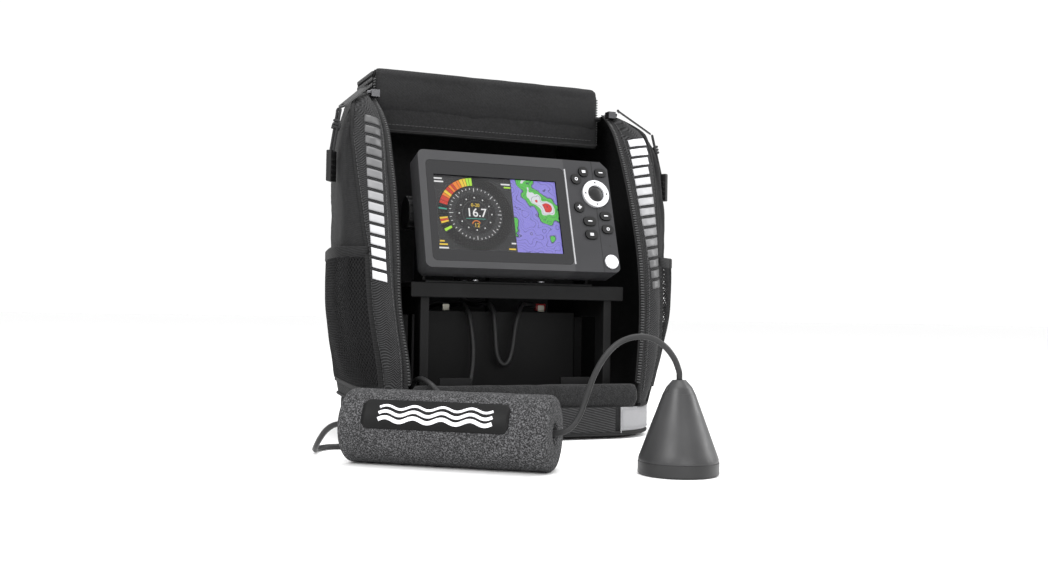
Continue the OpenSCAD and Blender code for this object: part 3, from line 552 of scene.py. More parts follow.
PLUG_END = 85
PLUG_UP = 6
LEAD_ROUTE = [
    on_face(10, PLUG_END, PLUG_UP), on_face(10, PLUG_END + 6, PLUG_UP), (10.3, 29, 160), (11, 35, 152),
    (12.5, 41, 140), (14.5, 48, 126), (17.5, 56, 111), (20.5, 61.5, 95), (22.3, 62.2, 80), (22.5, 61, 62),
]
CABLE_ROUTE = [
    (-47.5, 73, 62), (-47.2, 71, 78), (-44.5, 65, 94), (-40, 56.5, 105), (-35, 43, 109.5), (-31.5, 27, 108.5),
    (-30, 10, 108.5), (-29, -6, 109.5), (-27.5, -16, 104.5), (-26, -21, 92), (-25, -25, 72), (-27, -29, 54),
    (-32, -34, 36), (-40, -41, 21), (-51, -49, 13.5), (-62, -57.5, 11.6), (-71, -65, 11.8), (-79, -69.4, 14),
    (-86, -69.8, 21), (-89.5, -70, 31.5), (-90.5, -70.2, 41), (-90.8, -73.2, 47.2), (-88.5, -82.5, 50.3),
    (-83.5, -93.5, 46.5), (-78, -98.3, 38.5), (-71, -102, 26), (-66, -106, 13.5), (-67, -111, 5.2),
    (-75, -116, 2.2), (-89, -118.5, 2.2), (-104, -117, 2.2), (-121, -112, 2.2), (-138, -105.5, 2.2),
    (-153, -101, 2.2), (-165, -101, 2.2), (-173.5, -108, 2.2), (-177.8, -118, 3), (-179.5, -129, 6.5),
    (-178.8, -138.5, 13), (-176, -146.8, 20), (-171.2, -154.8, 24.4), (-163.1, -162.8, 25),
    (-148, -174.6, 25), (-132, -187, 25), (-115, -200.2, 25), (-98, -213.5, 25), (-81, -226.7, 25),
    (-64, -239.9, 25), (-52, -249.3, 25), (-45, -254.2, 26.5), (-39.5, -256.8, 31), (-35, -258.2, 39),
    (-31, -259.3, 51), (-26.8, -260.7, 63.5), (-20.5, -263, 75.5), (-12, -265.8, 84.5), (-2, -269.2, 88.6),
    (8, -272.8, 88), (16.5, -275.7, 82.8), (22.5, -277.8, 75), (25.6, -278.9, 67), (26, -279, 63),
    (26, -279, 58.7),
]
POWER_ROUTE = [
    on_face(-22, PLUG_END, PLUG_UP), on_face(-22, PLUG_END + 6, PLUG_UP), (-22, 29, 159), (-21.5, 34, 149),
    (-20.5, 36.5, 136), (-18.5, 35, 123), (-15.5, 28, 113.5), (-12, 15, 109.6), (-9, 2, 109.6), (-6, -9, 110),
    (-4.5, -17, 104), (-4, -20.5, 91), (-2.5, -22.5, 68), (2, -23.5, 58.5), (8, -23.5, 60.5), (12, -22.5, 72),
    (15, -20.5, 90), (19, -18, 102), (25, -10, 109.5), (34, 1, 110.3), (44, 7, 109.5), (49.5, 7.2, 109),
]


def coil_turns():
    """Four flat spirals side by side, wound in and out in turn, about an axis along Y."""
    centre = Vector((-12.5, 67, 46.7))
    outer, inner, pitch, lane = 35.0, 13.0, 4.2, 4.15
    step = math.radians(12)
    shift = math.radians(60)
    angle = math.atan2(15.3, 35.0)
    r, points = outer, []
    for k in range(4):
        y = (k - 1.5) * lane
        going = -1 if k % 2 == 0 else 1
        end = inner if going < 0 else outer
        turns = (outer - inner) / pitch
        count = max(1, round(turns * 2 * math.pi / step))
        for i in range(count):
            points.append((angle, r, y))
            angle -= step
            r += going * (outer - inner) / count
        r = end
        if k < 3:
            for i in range(5):
                t = i / 5
                points.append((angle, r, y + lane * t * t * (3 - 2 * t)))
                angle -= shift / 5
    while math.cos(angle) > -0.9 or math.sin(angle) < 0:
        points.append((angle, r, y))
        angle -= step
    return [centre + Vector((r * math.cos(a), y, r * math.sin(a))) for a, r, y in points]


def cords(mats):
    """The transducer's one cable with its stored coil, and the power cable."""
    lead = curve_through(LEAD_ROUTE[:-1], 8)
    coil = coil_turns()
    far = curve_through(CABLE_ROUTE[1:], 8)
    enter = curve_through([LEAD_ROUTE[-3], LEAD_ROUTE[-2], LEAD_ROUTE[-1], coil[0], coil[1]], 6)[6:-6]
    leave = curve_through([coil[-2], coil[-1], CABLE_ROUTE[0], CABLE_ROUTE[1], CABLE_ROUTE[2]], 6)[6:-6]
    path = lead[:-1] + enter[:-1] + coil + leave[1:-1] + far
    cable = piece("cable_transducer", *tube(path, CABLE_D / 2, 10), [mats["cable"]], slot="cable_rubber",
                  replaces=("transducer_cable", "cable_coil"))
    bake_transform(cable)
    tie = []
    for turn in (math.radians(100), math.radians(-60)):
        out = Vector((math.cos(turn), 0, math.sin(turn)))
        mid = Vector((-12.5, 67, 46.7)) + 24 * out
        loop = [mid + 14.6 * math.cos(a) * out + Vector((0, 10.2 * math.sin(a), 0))
                for a in [2 * math.pi * k / 40 for k in range(40)]]
        loop = [Vector(p) for p in loop]
        across = out.cross(Vector((0, 1, 0)))
        tie.append(sweep(loop, slab(7, 1.0, 0.3), side=across, closed=True))
    tie = group("coil_ties", tie, [mats["webbing"]], "root", "webbing")
    route = curve_through(POWER_ROUTE, 8)
    power = piece("cable_power", *tube(route, POWER_D / 2, 10), [mats["cable"]], slot="cable_rubber",
                  replaces=("power_cable",))
    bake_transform(power)
    boot = block((50, 7.2, 107.7), ((1, 0, 0), (0, 1, 0), (0, 0, 1)), (10, 4.6, 6.5))
    boot = piece("power_terminal_boot", *boot, [mats["red_plastic"]], "root", "cable_rubber", smooth=True)
    soften(boot, 1.0, 3, weld=False)


# ---- soft case ----
def row(k, z):
    """Value of one column of SIDE at a height, smooth between its rows."""
    i = max(0, min(len(SIDE) - 2, sum(1 for r in SIDE if r[0] <= z) - 1))
    lo, hi = SIDE[i], SIDE[i + 1]
    before, after = SIDE[max(0, i - 1)], SIDE[min(len(SIDE) - 1, i + 2)]
    h = hi[0] - lo[0]
    t = max(0.0, min(1.0, (z - lo[0]) / h))
    m0 = (hi[k] - before[k]) / (hi[0] - before[0]) * h
    m1 = (after[k] - lo[k]) / (after[0] - lo[0]) * h
    return ((2 * t ** 3 - 3 * t ** 2 + 1) * lo[k] + (t ** 3 - 2 * t ** 2 + t) * m0
            + (3 * t ** 2 - 2 * t ** 3) * hi[k] + (t ** 3 - t ** 2) * m1)


def side_corners(z):
    """Corners of the right side's plan at a height, from the mouth round to the back."""
    w, x0, y0, yl, yc, narrowing = (row(k, z) for k in (1, 2, 3, 4, 5, 6))
    wb = w - narrowing
    r = min(33, wb - 103)
    return [Vector(p) for p in (
        (x0, y0), (x0 + 0.42 * (w - x0), yl), (x0 + 0.85 * (w - x0), yl + 0.45 * (yc - yl)), (w, yc),
        ((w + wb) / 2, (yc + CASE_BACK) / 2), (wb, CASE_BACK - r), (wb - 0.29 * r, CASE_BACK - 0.29 * r),
        (wb - r, CASE_BACK), (100.4, CASE_BACK))]


def on_profile(corners, s):
    """Point of the smooth curve through the corners."""
    i = max(0, min(len(corners) - 2, int(s)))
    t = s - i
    last = len(corners) - 1
    a, b, c, d = (corners[max(i - 1, 0)], corners[i], corners[i + 1], corners[min(i + 2, last)])
    return catmull(a, b, c, d, t)


def side_normal(corners, s):
    d = on_profile(corners, min(SIDE_END, s + 0.02)) - on_profile(corners, max(0, s - 0.02))
    return Vector((d.y, -d.x)).normalized()


def side_point(s, z, off=0.0, padded=True, side=1):
    """Point of the case's side: s runs from the mouth's edge (0) past the corner (3) to the back (8)."""
    corners = side_corners(z)
    p = on_profile(corners, s) + side_normal(corners, s) * (off + (padding(s, z, side) if padded else 0))
    return Vector((side * p.x, p.y, z))


def seam_at(z):
    """Where the cheek's cloth ends, along the side's profile."""
    i = max(0, min(len(SEAM) - 2, sum(1 for r in SEAM if r[0] <= z) - 1))
    (z0, s0), (z1, s1) = SEAM[i], SEAM[i + 1]
    return s0 + (s1 - s0) * max(0.0, min(1.0, (z - z0) / (z1 - z0)))


def padding(s, z, side):
    """How far the padded cloth stands out between its seams."""
    up = max(0.0, min(1.0, (z - BOOT_H) / (ROOF_TOP - BOOT_H)))
    ends = min(1.0, 1.25 * math.sin(math.pi * up) ** 0.5) if 0 < up < 1 else 0.0
    cheek = seam_at(z)
    if s < cheek:
        swell = 3.0 * max(0.0, math.sin(math.pi * s / cheek)) ** 0.55
    else:
        swell = 2.8 * max(0.0, math.sin(math.pi * (s - cheek) / (SIDE_END - cheek))) ** 0.4
    folds = 1.6 * ripple(s * 0.9, z * 0.016, 3.1 * side)
    folds += 0.9 * ripple(s * 2.6 + z * 0.03, z * 0.045, 7.7 * side)
    folds += 0.4 * ripple(s * 6.0, z * 0.12 + s, 1.3 * side)
    seam = min(abs(s - cheek), s, SIDE_END - s)
    return ends * (swell + folds * min(1.0, 0.25 + seam))


def spread_out(a, b, count):
    """Numbers from a to b in so many equal steps."""
    return [a + (b - a) * i / count for i in range(count + 1)]


def mouth(z, side, inwards=0.0, forward=0.0):
    """Point of the mouth's edge at a height, moved in and forward."""
    return Vector((side * (row(2, z) - inwards), row(3, z) - forward, z))


def side_panels(mats):
    """Padded sides with their cheeks, piping, stitches and reflective bars."""
    for side, word in ((1, "right"), (-1, "left")):
        heights = spread_out(BOOT_H - 1.5, ROOF_TOP - 0.5, 72)
        stops = [spread_out(0, seam_at(z), 24) + spread_out(seam_at(z), SIDE_END, 36)[1:] for z in heights]
        outer = [[side_point(s, z, 0, True, side) for s in line] for z, line in zip(heights, stops)]
        inner = [[side_point(s, z, -6.5, False, side) for s in line] for z, line in zip(heights, stops)]
        points, faces = shell(outer, inner)
        count = len(stops[0])
        limit = count * len(heights)
        picks = []
        for f in faces:
            cols = [i % count for i in f if i < limit]
            if len(cols) < len(f):
                picks.append(2)
            else:
                picks.append(0 if min(cols) < 24 else 1)
        # The inner faces take the lining cloth, darker than the nylon as painted shade inside the case.
        cloths = [mats[k] for k in ("cheek", "nylon", "shaded_lining")]
        panel = piece(f"case_side_{word}", points, faces, cloths, "root", "cheek_nylon",
                      (f"side_panel_{word}",), picks)
        seam = [side_point(seam_at(z), z, 0.7, True, side) for z in spread_out(BOOT_H + 1, ROOF_TOP - 3, 90)]
        edge = [mouth(z, side, 0.6, 0.4) for z in spread_out(BOOT_H + 2, ROOF_TOP - 1, 90)]
        rear = [side_point(SIDE_END - 0.25, z, 0.8, True, side)
                for z in spread_out(BOOT_H + 1, ROOF_TOP - 3, 60)]
        foot = [side_point(s, BOOT_H + 0.5, 0.9, False, side) for s in spread_out(0.05, SIDE_END, 70)]
        top = [side_point(s, ROOF_TOP - 1.5, -1.0, False, side) for s in spread_out(0.2, SIDE_END, 60)]
        trim = [tube(p, r, 8) for p, r in ((seam, 1.7), (edge, 2.0), (rear, 1.5), (foot, 1.5), (top, 1.7))]
        group(f"case_piping_{word}", trim, [mats["binding"]], "root", "webbing")
        rows = [[side_point(seam_at(z) - 0.1, z, 0.3, True, side) for z in spread_out(40, 276, 120)],
                [side_point(0.34, z, 0.3, True, side) for z in spread_out(40, 276, 120)]]
        sewn = [stitches(r, (0, 0, 0), 3.4) for r in rows]
        group(f"case_stitches_{word}", sewn, [mats["thread"]], "root", "cheek_nylon", smooth=False)
        bars(side, word, mats)


BAR_COUNT, BARS_LOW, BARS_HIGH = 15, 126, 262


def bars(side, word, mats):
    """Slanted reflective bars down the cheek: light print at one end, darkening bar by bar with painted shade
    towards the other.
    """
    spans = BARS_RIGHT if side > 0 else BARS_LEFT
    parts = []
    for i, z0 in enumerate(spread_out(BARS_LOW, BARS_HIGH, BAR_COUNT)[:-1]):
        lo, hi = span_at(spans, z0 + 3)
        grid, under = [], []
        for a in range(11):
            at = [(lo + (hi - lo) * a / 10, z0 + 6.4 * b / 4 + 3.0 * (a / 10 - 0.5)) for b in range(5)]
            grid.append([side_point(s, z, 0.55, True, side) for s, z in at])
            under.append([side_point(s, z, 0.05, True, side) for s, z in at])
        points, faces = shell(grid, under)
        parts.append((points, faces, i if side > 0 else BAR_COUNT - 1 - i))
    group(f"cheek_bars_{word}", parts, mats["bars"], "root", "cheek_nylon")


def span_at(rows, z):
    """Ends of the bars along the profile at a height, between the rows of a table."""
    i = max(0, min(len(rows) - 2, sum(1 for r in rows if r[0] <= z) - 1))
    a, b = rows[i], rows[i + 1]
    t = max(0.0, min(1.0, (z - a[0]) / (b[0] - a[0])))
    return a[1] + (b[1] - a[1]) * t, a[2] + (b[2] - a[2]) * t


def zippers(mats):
    """Tapes and teeth along both edges of the mouth."""
    parts_tape, parts_teeth = [], []
    for side in (1, -1):
        heights = spread_out(LIP_TOP + 2, ROOF_TOP - 1, 120)
        path = [mouth(z, side, 2.6, -0.2) for z in heights]
        parts_tape.append(sweep(path, slab(5.4, 0.9, 0.3), side=(1, 0, 0)))
        track = [mouth(z, side, 2.2, 0.9) for z in heights]
        parts_teeth.append(teeth(track, (1, -0.5, 0), 2.3, 3.8, 0.85))
    group("zipper_tape", parts_tape, [mats["zip_tape"]], "root", "zipper", ("zipper_tapes",))
    group("zipper_teeth", parts_teeth, [mats["zip_teeth"]], "root", "zipper")


def boot_outline(inset, steps=14):
    """Plan of the boot from the middle of its front, counterclockwise seen from above."""
    front, back = 50 - inset, 24 - inset
    cf, cb = Vector((75, -42)), Vector((91, 69))
    gap = cb - cf
    turn = math.degrees(math.atan2(gap.y, gap.x) - math.acos(26 / gap.length))
    half = []
    for c, r, a0, a1 in ((cf, front, -90, turn), (cb, back, turn, 90)):
        for k in range(steps + 1):
            a = math.radians(a0 + (a1 - a0) * k / steps)
            half.append(c + r * Vector((math.cos(a), math.sin(a))))
    y0 = -92 + inset
    points = [Vector((x, y0)) for x in spread_out(0, 75, 6)] + half
    points += [Vector((-p.x, p.y)) for p in reversed(half)]
    points += [Vector((x, y0)) for x in spread_out(-75, 0, 6)[:-1]]
    kept = [points[0]]
    for p in points[1:]:
        if (p - kept[-1]).length > 0.05:
            kept.append(p)
    return kept


def boot(mats):
    """Stiff base with a rounded foot, light corner panels, a hook strip and the bound lip."""
    levels = [(0, 9), (0.6, 6), (2, 3.4), (4.5, 1.4), (8, 0.3), (14, 0), (22, 0), (BOOT_H, 0.6),
              (BOOT_H, 9.6), (16, 10), (6.2, 10)]
    rings = [[Vector((p.x, p.y, z)) for p in boot_outline(inset)] for z, inset in levels]
    points, faces = loft(rings, True, True)
    piece("case_boot", points, faces, [mats["nylon"]], "root", "nylon", ("base_pan",))
    foot = [Vector((p.x, p.y, 4.6)) for p in boot_outline(0.2)]
    piece("boot_piping", *tube(foot, 1.9, 8, True), [mats["binding"]], "root", "webbing")
    outline = boot_outline(-0.5, 26)
    parts, rows = [], []
    for side in (1, -1):
        run = [p for p in outline if side * p.x > 79 and p.y < -37]
        grid_out = [[Vector((p.x, p.y, z)) + Vector((p.x, p.y + 30, 0)).normalized() * lift for p in run]
                    for z, lift in ((6.4, 0.1), (7.2, 0.9), (12, 1.2), (20, 1.2), (25.2, 0.9), (26, 0.1))]
        grid_in = [[q - Vector((q.x, q.y + 30, 0)).normalized() * (lift + 0.2) for q in r]
                   for r, lift in zip(grid_out, (0.1, 0.9, 1.2, 1.2, 0.9, 0.1))]
        parts.append(shell(grid_out, grid_in))
        for z in (8.2, 24.2):
            rows.append(stitches([Vector((p.x, p.y, z)) + Vector((p.x, p.y + 30, 0)).normalized() * 1.2
                                  for p in run], (0, 0, 0), 3.4))
        edge = [Vector((run[0].x if side > 0 else run[-1].x, -93.2, z)) for z in spread_out(6, 26, 8)]
        rows.append(stitches(edge, (0, -0.5, 0), 3.4))
    group("corner_panels", parts, [mats["grey_panel"]], "root", "grey_panel", ("corner_guards",))
    group("corner_stitches", rows, [mats["thread_grey"]], "root", "grey_panel", smooth=False)
    strip = pillow((-76, -93.9, 5.6), (76, -92.1, 26), 1, 0.5, 12, 0.15, 2.0, (60, 12))
    piece("front_hook_strip", *strip, [mats["hook"]], "root", "webbing", ("hook_strip",))
    lip = []
    for x in spread_out(-97.5, 97.5, 90):
        line = []
        for k in range(18):
            a = 2 * math.pi * k / 18
            swell = 1 + 0.06 * ripple(x * 0.05, math.cos(a) * 2, math.sin(a) * 2)
            taper = 1 - 0.5 * max(0.0, (abs(x) - 94) / 3.5) ** 2
            y = -88.4 + 4.9 * taper * swell * math.copysign(abs(math.cos(a)) ** 0.7, math.cos(a))
            z = 35.6 + 9.4 * taper * swell * math.copysign(abs(math.sin(a)) ** 0.75, math.sin(a))
            line.append(Vector((x, y, z)))
        lip.append(line)
    points, faces = loft(lip, True, True)
    lip = piece("case_front_lip", points, faces, [mats["pile"]], "root", "nylon", ("front_lip",))


def panels(mats):
    """Back and roof of the case, with their piping."""
    back = pillow((-100.5, 85.2, BOOT_H), (100.5, 94.2, ROOF_TOP + 0.5), 1, 0.35, 9, 0.8, 5.0, (40, 50))
    back = piece("case_back", *back, [mats["nylon"]], "root", "nylon", ("back_panel",))
    roof = pillow((-109, 9, ROOF_TOP - 9.5), (109, 92.5, ROOF_TOP + 0.9), 2, 0.35, 8, 0.5, 8.0, (50, 30))
    roof = piece("case_roof", *roof, [mats["nylon"]], "root", "nylon", ("roof_panel",))
    edges = [[Vector((-100.6, 93.6, z)) for z in spread_out(BOOT_H + 1, ROOF_TOP - 2, 10)],
             [Vector((100.6, 93.6, z)) for z in spread_out(BOOT_H + 1, ROOF_TOP - 2, 10)],
             [Vector((x, 93.2, ROOF_TOP - 1.2)) for x in spread_out(-104, 104, 12)],
             [Vector((x, 9.6, ROOF_TOP - 4.2)) for x in spread_out(-109, 109, 12)],
             [Vector((x, 93.8, BOOT_H + 0.6)) for x in spread_out(-101, 101, 12)]]
    group("panel_piping", [tube(e, 1.6, 8) for e in edges], [mats["binding"]], "root", "webbing")


def handle(mats):
    """Webbing handle on the back, with a padded sleeve and crossed stitching at its ends."""
    half = [(-77, 95.0), (-60, 95.3), (-54.5, 97.5), (-51.5, 104), (-47, 111), (-38, 114.2), (-20, 115),
            (0, 115.1)]
    path = [Vector((x, y, 241.2)) for x, y in half]
    path += [Vector((-p.x, p.y, p.z)) for p in reversed(path[:-1])]
    strap = sweep(curve_through(path, 6), slab(24, 2.2, 0.8), side=(0, 0, 1))
    sleeve_path = [p for p in curve_through(path, 6) if abs(p.x) < 36]
    swell = sweep(sleeve_path, [(12.4 * math.cos(a), 3.4 * math.sin(a)) for a in
                                [2 * math.pi * k / 20 for k in range(20)]], side=(0, 0, 1),
                  scale=lambda t: 0.82 + 0.18 * min(1, 12 * t, 12 * (1 - t)))
    obj = group("back_handle", [(*strap, 0), (*swell, 1)], [mats["webbing"], mats["nylon"]], "root",
                "webbing", ("carry_handle",))
    rows = []
    for s in (-1, 1):
        x0, x1, z0, z1 = s * 60, s * 75, 231.5, 250.9
        corners = [Vector((x, 96.5, z)) for x, z in ((x0, z0), (x1, z0), (x1, z1), (x0, z1))]
        for a, b in ((0, 1), (1, 2), (2, 3), (3, 0), (0, 2), (1, 3)):
            rows.append(stitches([corners[a], corners[b]], (0, 0, 0), 3.0, 2.0))
    group("handle_stitches", rows, [mats["thread"]], "root", "webbing", smooth=False)


def pockets(mats):
    """Knitted mesh pockets on both sides, with an elastic top binding."""
    first, last, low, high, bulge = 4 / 3, 5.0, 42, 148, 10

    def on_pocket(a, b, extra, side):
        s = first + (last - first) * a
        z = low + (high - low) * b
        off = 0.5 + bulge * max(0.0, math.sin(math.pi * a)) ** 0.5 * max(0.0, math.sin(math.radians(
            130 * b ** 0.8))) ** 0.8
        off += 0.8 * ripple(a * 5, b * 4, side * 2.0) * min(1, 6 * a, 6 * (1 - a), 8 * b)
        lift = padding(s, z, side) * max(0.0, 1 - off / 4)
        return side_point(s, z, off + extra + lift, False, side)

    for side, word in ((1, "right"), (-1, "left")):
        cols, rows = 68, 52
        points, index = [], {}
        for i in range(cols + 1):
            for j in range(rows + 1):
                if (i + j) % 2 == 0:
                    index[i, j] = len(points)
                    points.append(on_pocket(i / cols, j / rows, 0.4, side))
        faces = []
        for i in range(1, cols):
            for j in range(1, rows):
                if (i + j) % 2 == 1:
                    faces.append((index[i - 1, j], index[i, j - 1], index[i + 1, j], index[i, j + 1]))
        net = piece(f"pocket_net_{word}", points, faces, [mats["net"]], "root", "mesh",
                    (f"mesh_pocket_{word}",))
        wire = net.modifiers.new("Wireframe", "WIREFRAME")
        wire.thickness = 1.05 * MM
        wire.use_even_offset = False
        wire.use_replace = True
        rim = [on_pocket(a, 1, 0.6, side) for a in spread_out(0, 1, 60)]
        foot = [on_pocket(a, 0, 0.5, side) for a in spread_out(0, 1, 60)]
        ends = [[on_pocket(a, b, 0.5, side) for b in spread_out(0, 1, 30)] for a in (0, 1)]
        trim = [sweep(rim, slab(9, 2.0, 0.8), side=(0, 0, 1))]
        trim += [sweep(p, slab(6, 1.4, 0.5), side=s) for p, s in
                 ((foot, (0, 0, 1)), (ends[0], (1, 0.1, 0)), (ends[1], (0, 1, 0)))]
        group(f"pocket_binding_{word}", trim, [mats["binding"]], "root", "webbing")


# ---- flap ----
FOLD_FRONT, FOLD_BACK, LAYER_LOW, LAYER_PITCH = 15.6, 73.6, 291.6, 5.2
ROLL_Y, ROLL_Z = 15.6, 304.2


def layer(i):
    """Height of the middle of a folded layer."""
    return LAYER_LOW + i * LAYER_PITCH


def arc_strip(name, centre, radius, a0, a1, mats, thick=2.0, flat=4.0, steps=14):
    """Cloth that goes round a fold: a thin strip along X, from one layer's edge to the next one's."""
    outer, inner = [], []
    for k in range(steps + 1):
        a = math.radians(a0 + (a1 - a0) * k / steps)
        out = Vector((0, math.cos(a), math.sin(a)))
        line_out, line_in = [], []
        for x in spread_out(-FLAP_HALF + 0.6, FLAP_HALF - 0.6, 60):
            r = radius + 0.35 * ripple(x * 0.04, k * 0.2, radius)
            c = Vector((x, centre[0], centre[1]))
            line_out.append(c + out * (r + thick / 2))
            line_in.append(c + out * max(0.2, r - thick / 2))
        outer.append(line_out)
        inner.append(line_in)
    tail = []
    for grid in (outer, inner):
        first, last = grid[0], grid[-1]
        t0 = Vector((0, -math.sin(math.radians(a0)), math.cos(math.radians(a0)))) * (1 if a1 > a0 else -1)
        t1 = Vector((0, -math.sin(math.radians(a1)), math.cos(math.radians(a1)))) * (1 if a1 > a0 else -1)
        tail.append([[p - t0 * flat for p in first]] + grid + [[p + t1 * flat for p in last]])
    strip = piece(name, *shell(tail[0], tail[1]), [mats["nylon"]], slot="nylon")
    return strip


def flap(mats):
    """Five padded panels folded on the roof, with cloth round each fold and zipper teeth on their ends."""
    top_crown = lambda p: 2.6 * math.exp(-((p.y - 28) / 20) ** 2)
    for i in range(4):
        near = FOLD_FRONT + 1.2 if i < 3 else 14.0
        lo = (-FLAP_HALF, near, layer(i) - 2.45)
        hi = (FLAP_HALF, FOLD_BACK - 1.2, layer(i) + 2.45)
        made = pillow(lo, hi, 2, 0.55, 12, 0.25, 11.0 + i, (60, 24), top_crown if i == 3 else None)
        panel = piece(f"flap_pad_{i + 1}", *made, [mats["nylon"]], f"flap_{i + 1}", "nylon",
                      (f"flap_panel_{i + 1}",))
    made = pillow((-FLAP_HALF, 9.0, 257.2), (FLAP_HALF, 13.5, 303.5), 1, 0.5, 10, 0.35, 19.0, (70, 26))
    panel = piece("flap_pad_5", *made, [mats["nylon"]], "flap_5", "nylon", ("flap_panel_5",))
    hem = [Vector((x, 10.9 + 0.5 * ripple(x * 0.03, 0, 5), 257.4)) for x in
           spread_out(-FLAP_HALF, FLAP_HALF, 60)]
    group("flap_hem", [tube(hem, 2.2, 8)], [mats["binding"]], "flap_5", "webbing")
    sides = []
    for side in (-1, 1):
        edge = [Vector((side * (FLAP_HALF + 0.6), 10.6, z)) for z in spread_out(259, 301, 24)]
        sides.append(teeth(edge, (0, 1, 0), 2.3, 3.2, 0.8))
    group("flap_teeth_5", sides, [mats["zip_teeth"]], "flap_5", "zipper")
    row_low = [Vector((x, 9.1, 262.5)) for x in spread_out(-FLAP_HALF + 6, FLAP_HALF - 6, 4)]
    rows = [stitches(row_low, (0, 0, 0), 3.4)]
    group("flap_stitches", rows, [mats["thread"]], "flap_5", "nylon", smooth=False)
    half = LAYER_PITCH / 2
    for k, (a, b, y, sign) in enumerate((("flap_1", "flap_2", FOLD_BACK - 1.6, 1), ("flap_2", "flap_3",
                                         FOLD_FRONT + 1.6, -1), ("flap_3", "flap_4", FOLD_BACK - 1.6, 1))):
        z = layer(k) + half
        strip = arc_strip(f"flap_fold_{k + 2}", (y, z), half + 0.2, -90 if sign > 0 else 270,
                          90, mats)
        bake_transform(strip)
    hinge_strip = arc_strip("flap_fold_1", (FOLD_FRONT + 1.6, 289.4), 2.4, 270, 90, mats)
    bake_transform(hinge_strip)
    over = front_roll(mats)
    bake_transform(over)
    for i in range(4):
        ys = spread_out(FOLD_FRONT + 3, FOLD_BACK - 3, 30)
        parts = [teeth([Vector((s * (FLAP_HALF + 0.7), y, layer(i))) for y in ys], (0, 0, 1), 2.4, 3.2, 0.8)
                 for s in (-1, 1)]
        group(f"flap_teeth_{i + 1}", parts, [mats["zip_teeth"]], f"flap_{i + 1}", "zipper")


def front_roll(mats):
    """Cloth from the top panel over its front edge and down the flap's face, as one soft roll."""
    half = FLAP_HALF - 0.4
    outer, inner = [], []
    top, turn = spread_out(30, 17, 4), spread_out(90, 180, 14)
    for x in spread_out(-half, half, 110):
        line_out, line_in = [], []
        wave = 0.8 * ripple(x * 0.035, 2.0, 6.5)
        wave += 0.4 * ripple(x * 0.1, 5.0, 1.5)
        edge = max(0.0, 1 - (half - abs(x)) / 5.0)
        tuck = 2.2 * (1 - math.sqrt(max(0.0, 1 - edge * edge)))
        for y in top:
            z = 311.0 - 0.06 * (y - 17) + 0.4 * wave
            line_out.append(Vector((x, y, z - tuck)))
            line_in.append(Vector((x, y, z - 1.6)))
        for a in turn:
            r = 7.0 + 0.35 * wave
            c, k = math.cos(math.radians(a)), math.sin(math.radians(a))
            line_out.append(Vector((x, ROLL_Y + (r - tuck) * c, ROLL_Z + (r - tuck) * k)))
            line_in.append(Vector((x, ROLL_Y + (r - 1.6) * c, ROLL_Z + (r - 1.6) * k)))
        for z in spread_out(302, 273, 16):
            t = (302 - z) / 29
            crease = 1.0 * ripple(x * 0.045, z * 0.12, 3.0)
            y = 8.6 - 1.3 * math.sin(math.pi * min(1.0, t * 1.05)) + 0.5 * wave
            y += 0.5 * crease * math.sin(math.pi * t)
            y += 0.9 * max(0.0, t - 0.86) / 0.14
            line_out.append(Vector((x, y + tuck, z)))
            line_in.append(Vector((x, y + 2.0 + 0.2 * tuck, z)))
        outer.append(line_out)
        inner.append(line_in)
    return piece("flap_fold_5", *shell(outer, inner), [mats["nylon"]], slot="nylon")


# ---- pulls ----
def pulls(mats):
    """Knotted cord on each tab, with its moulded grip."""
    for side, word in ((1, "right"), (-1, "left")):
        start = Vector((144.5, -26.6, 264.35))
        low = start + Vector((6.5, -5, -36))
        flip = lambda p: Vector((side * p.x, p.y, p.z))
        down = (low - start).normalized()
        across = Vector((0.5, 0.85, 0)).normalized()
        hook = start - down * 1.2
        loop = [low + across * 1.5, start + down * 6 + across * 1.6, start + across * 1.7, hook,
                start - across * 1.7, start + down * 6 - across * 1.6, low - across * 1.5]
        cord = tube([flip(p) for p in curve_through(loop, 8)], 1.15, 8)
        mid = start + down * 13
        out = down.cross(across)
        knot = []
        for k in range(49):
            a = 2 * math.pi * k / 16
            knot.append(mid + down * (k - 24) * 0.17 + across * 2.3 * math.cos(a) + out * 2.0 * math.sin(a))
        knot = tube([flip(p) for p in knot], 1.2, 8)
        tails = []
        for end in (-1, 1):
            tail = [mid + across * 1.8 * end, mid + across * 3.5 * end - down * 1.5,
                    mid + across * 4.2 * end + down * 2.5]
            tails.append(tube([flip(p) for p in curve_through(tail, 6)], 1.1, 8))
        group(f"pull_cord_{word}", [cord, knot, *tails], [mats["cord"]], f"cord_pull_{word}", "cable_rubber",
              (f"cord_pull_{word}",))
        turn = math.radians(35)
        wide = Vector((-math.sin(turn), math.cos(turn), 0))
        thin = Vector((math.cos(turn), math.sin(turn), 0))
        grip_mid = low + Vector((0, 0, -10.5))
        parts = [block(flip(grip_mid), (flip(thin), flip(wide), (0, 0, 1)), (4.4, 12, 25))]
        for k in range(4):
            at = grip_mid + Vector((0, 0, -8 + 4.2 * k))
            parts.append(block(flip(at), (flip(thin), flip(wide), (0, 0, 1)), (5.6, 9.5, 1.7)))
        grip = group(f"pull_grip_{word}", parts, [mats["socket"]], f"cord_pull_{word}", "cable_rubber")
        soften(grip, 1.0, 3, weld=False)


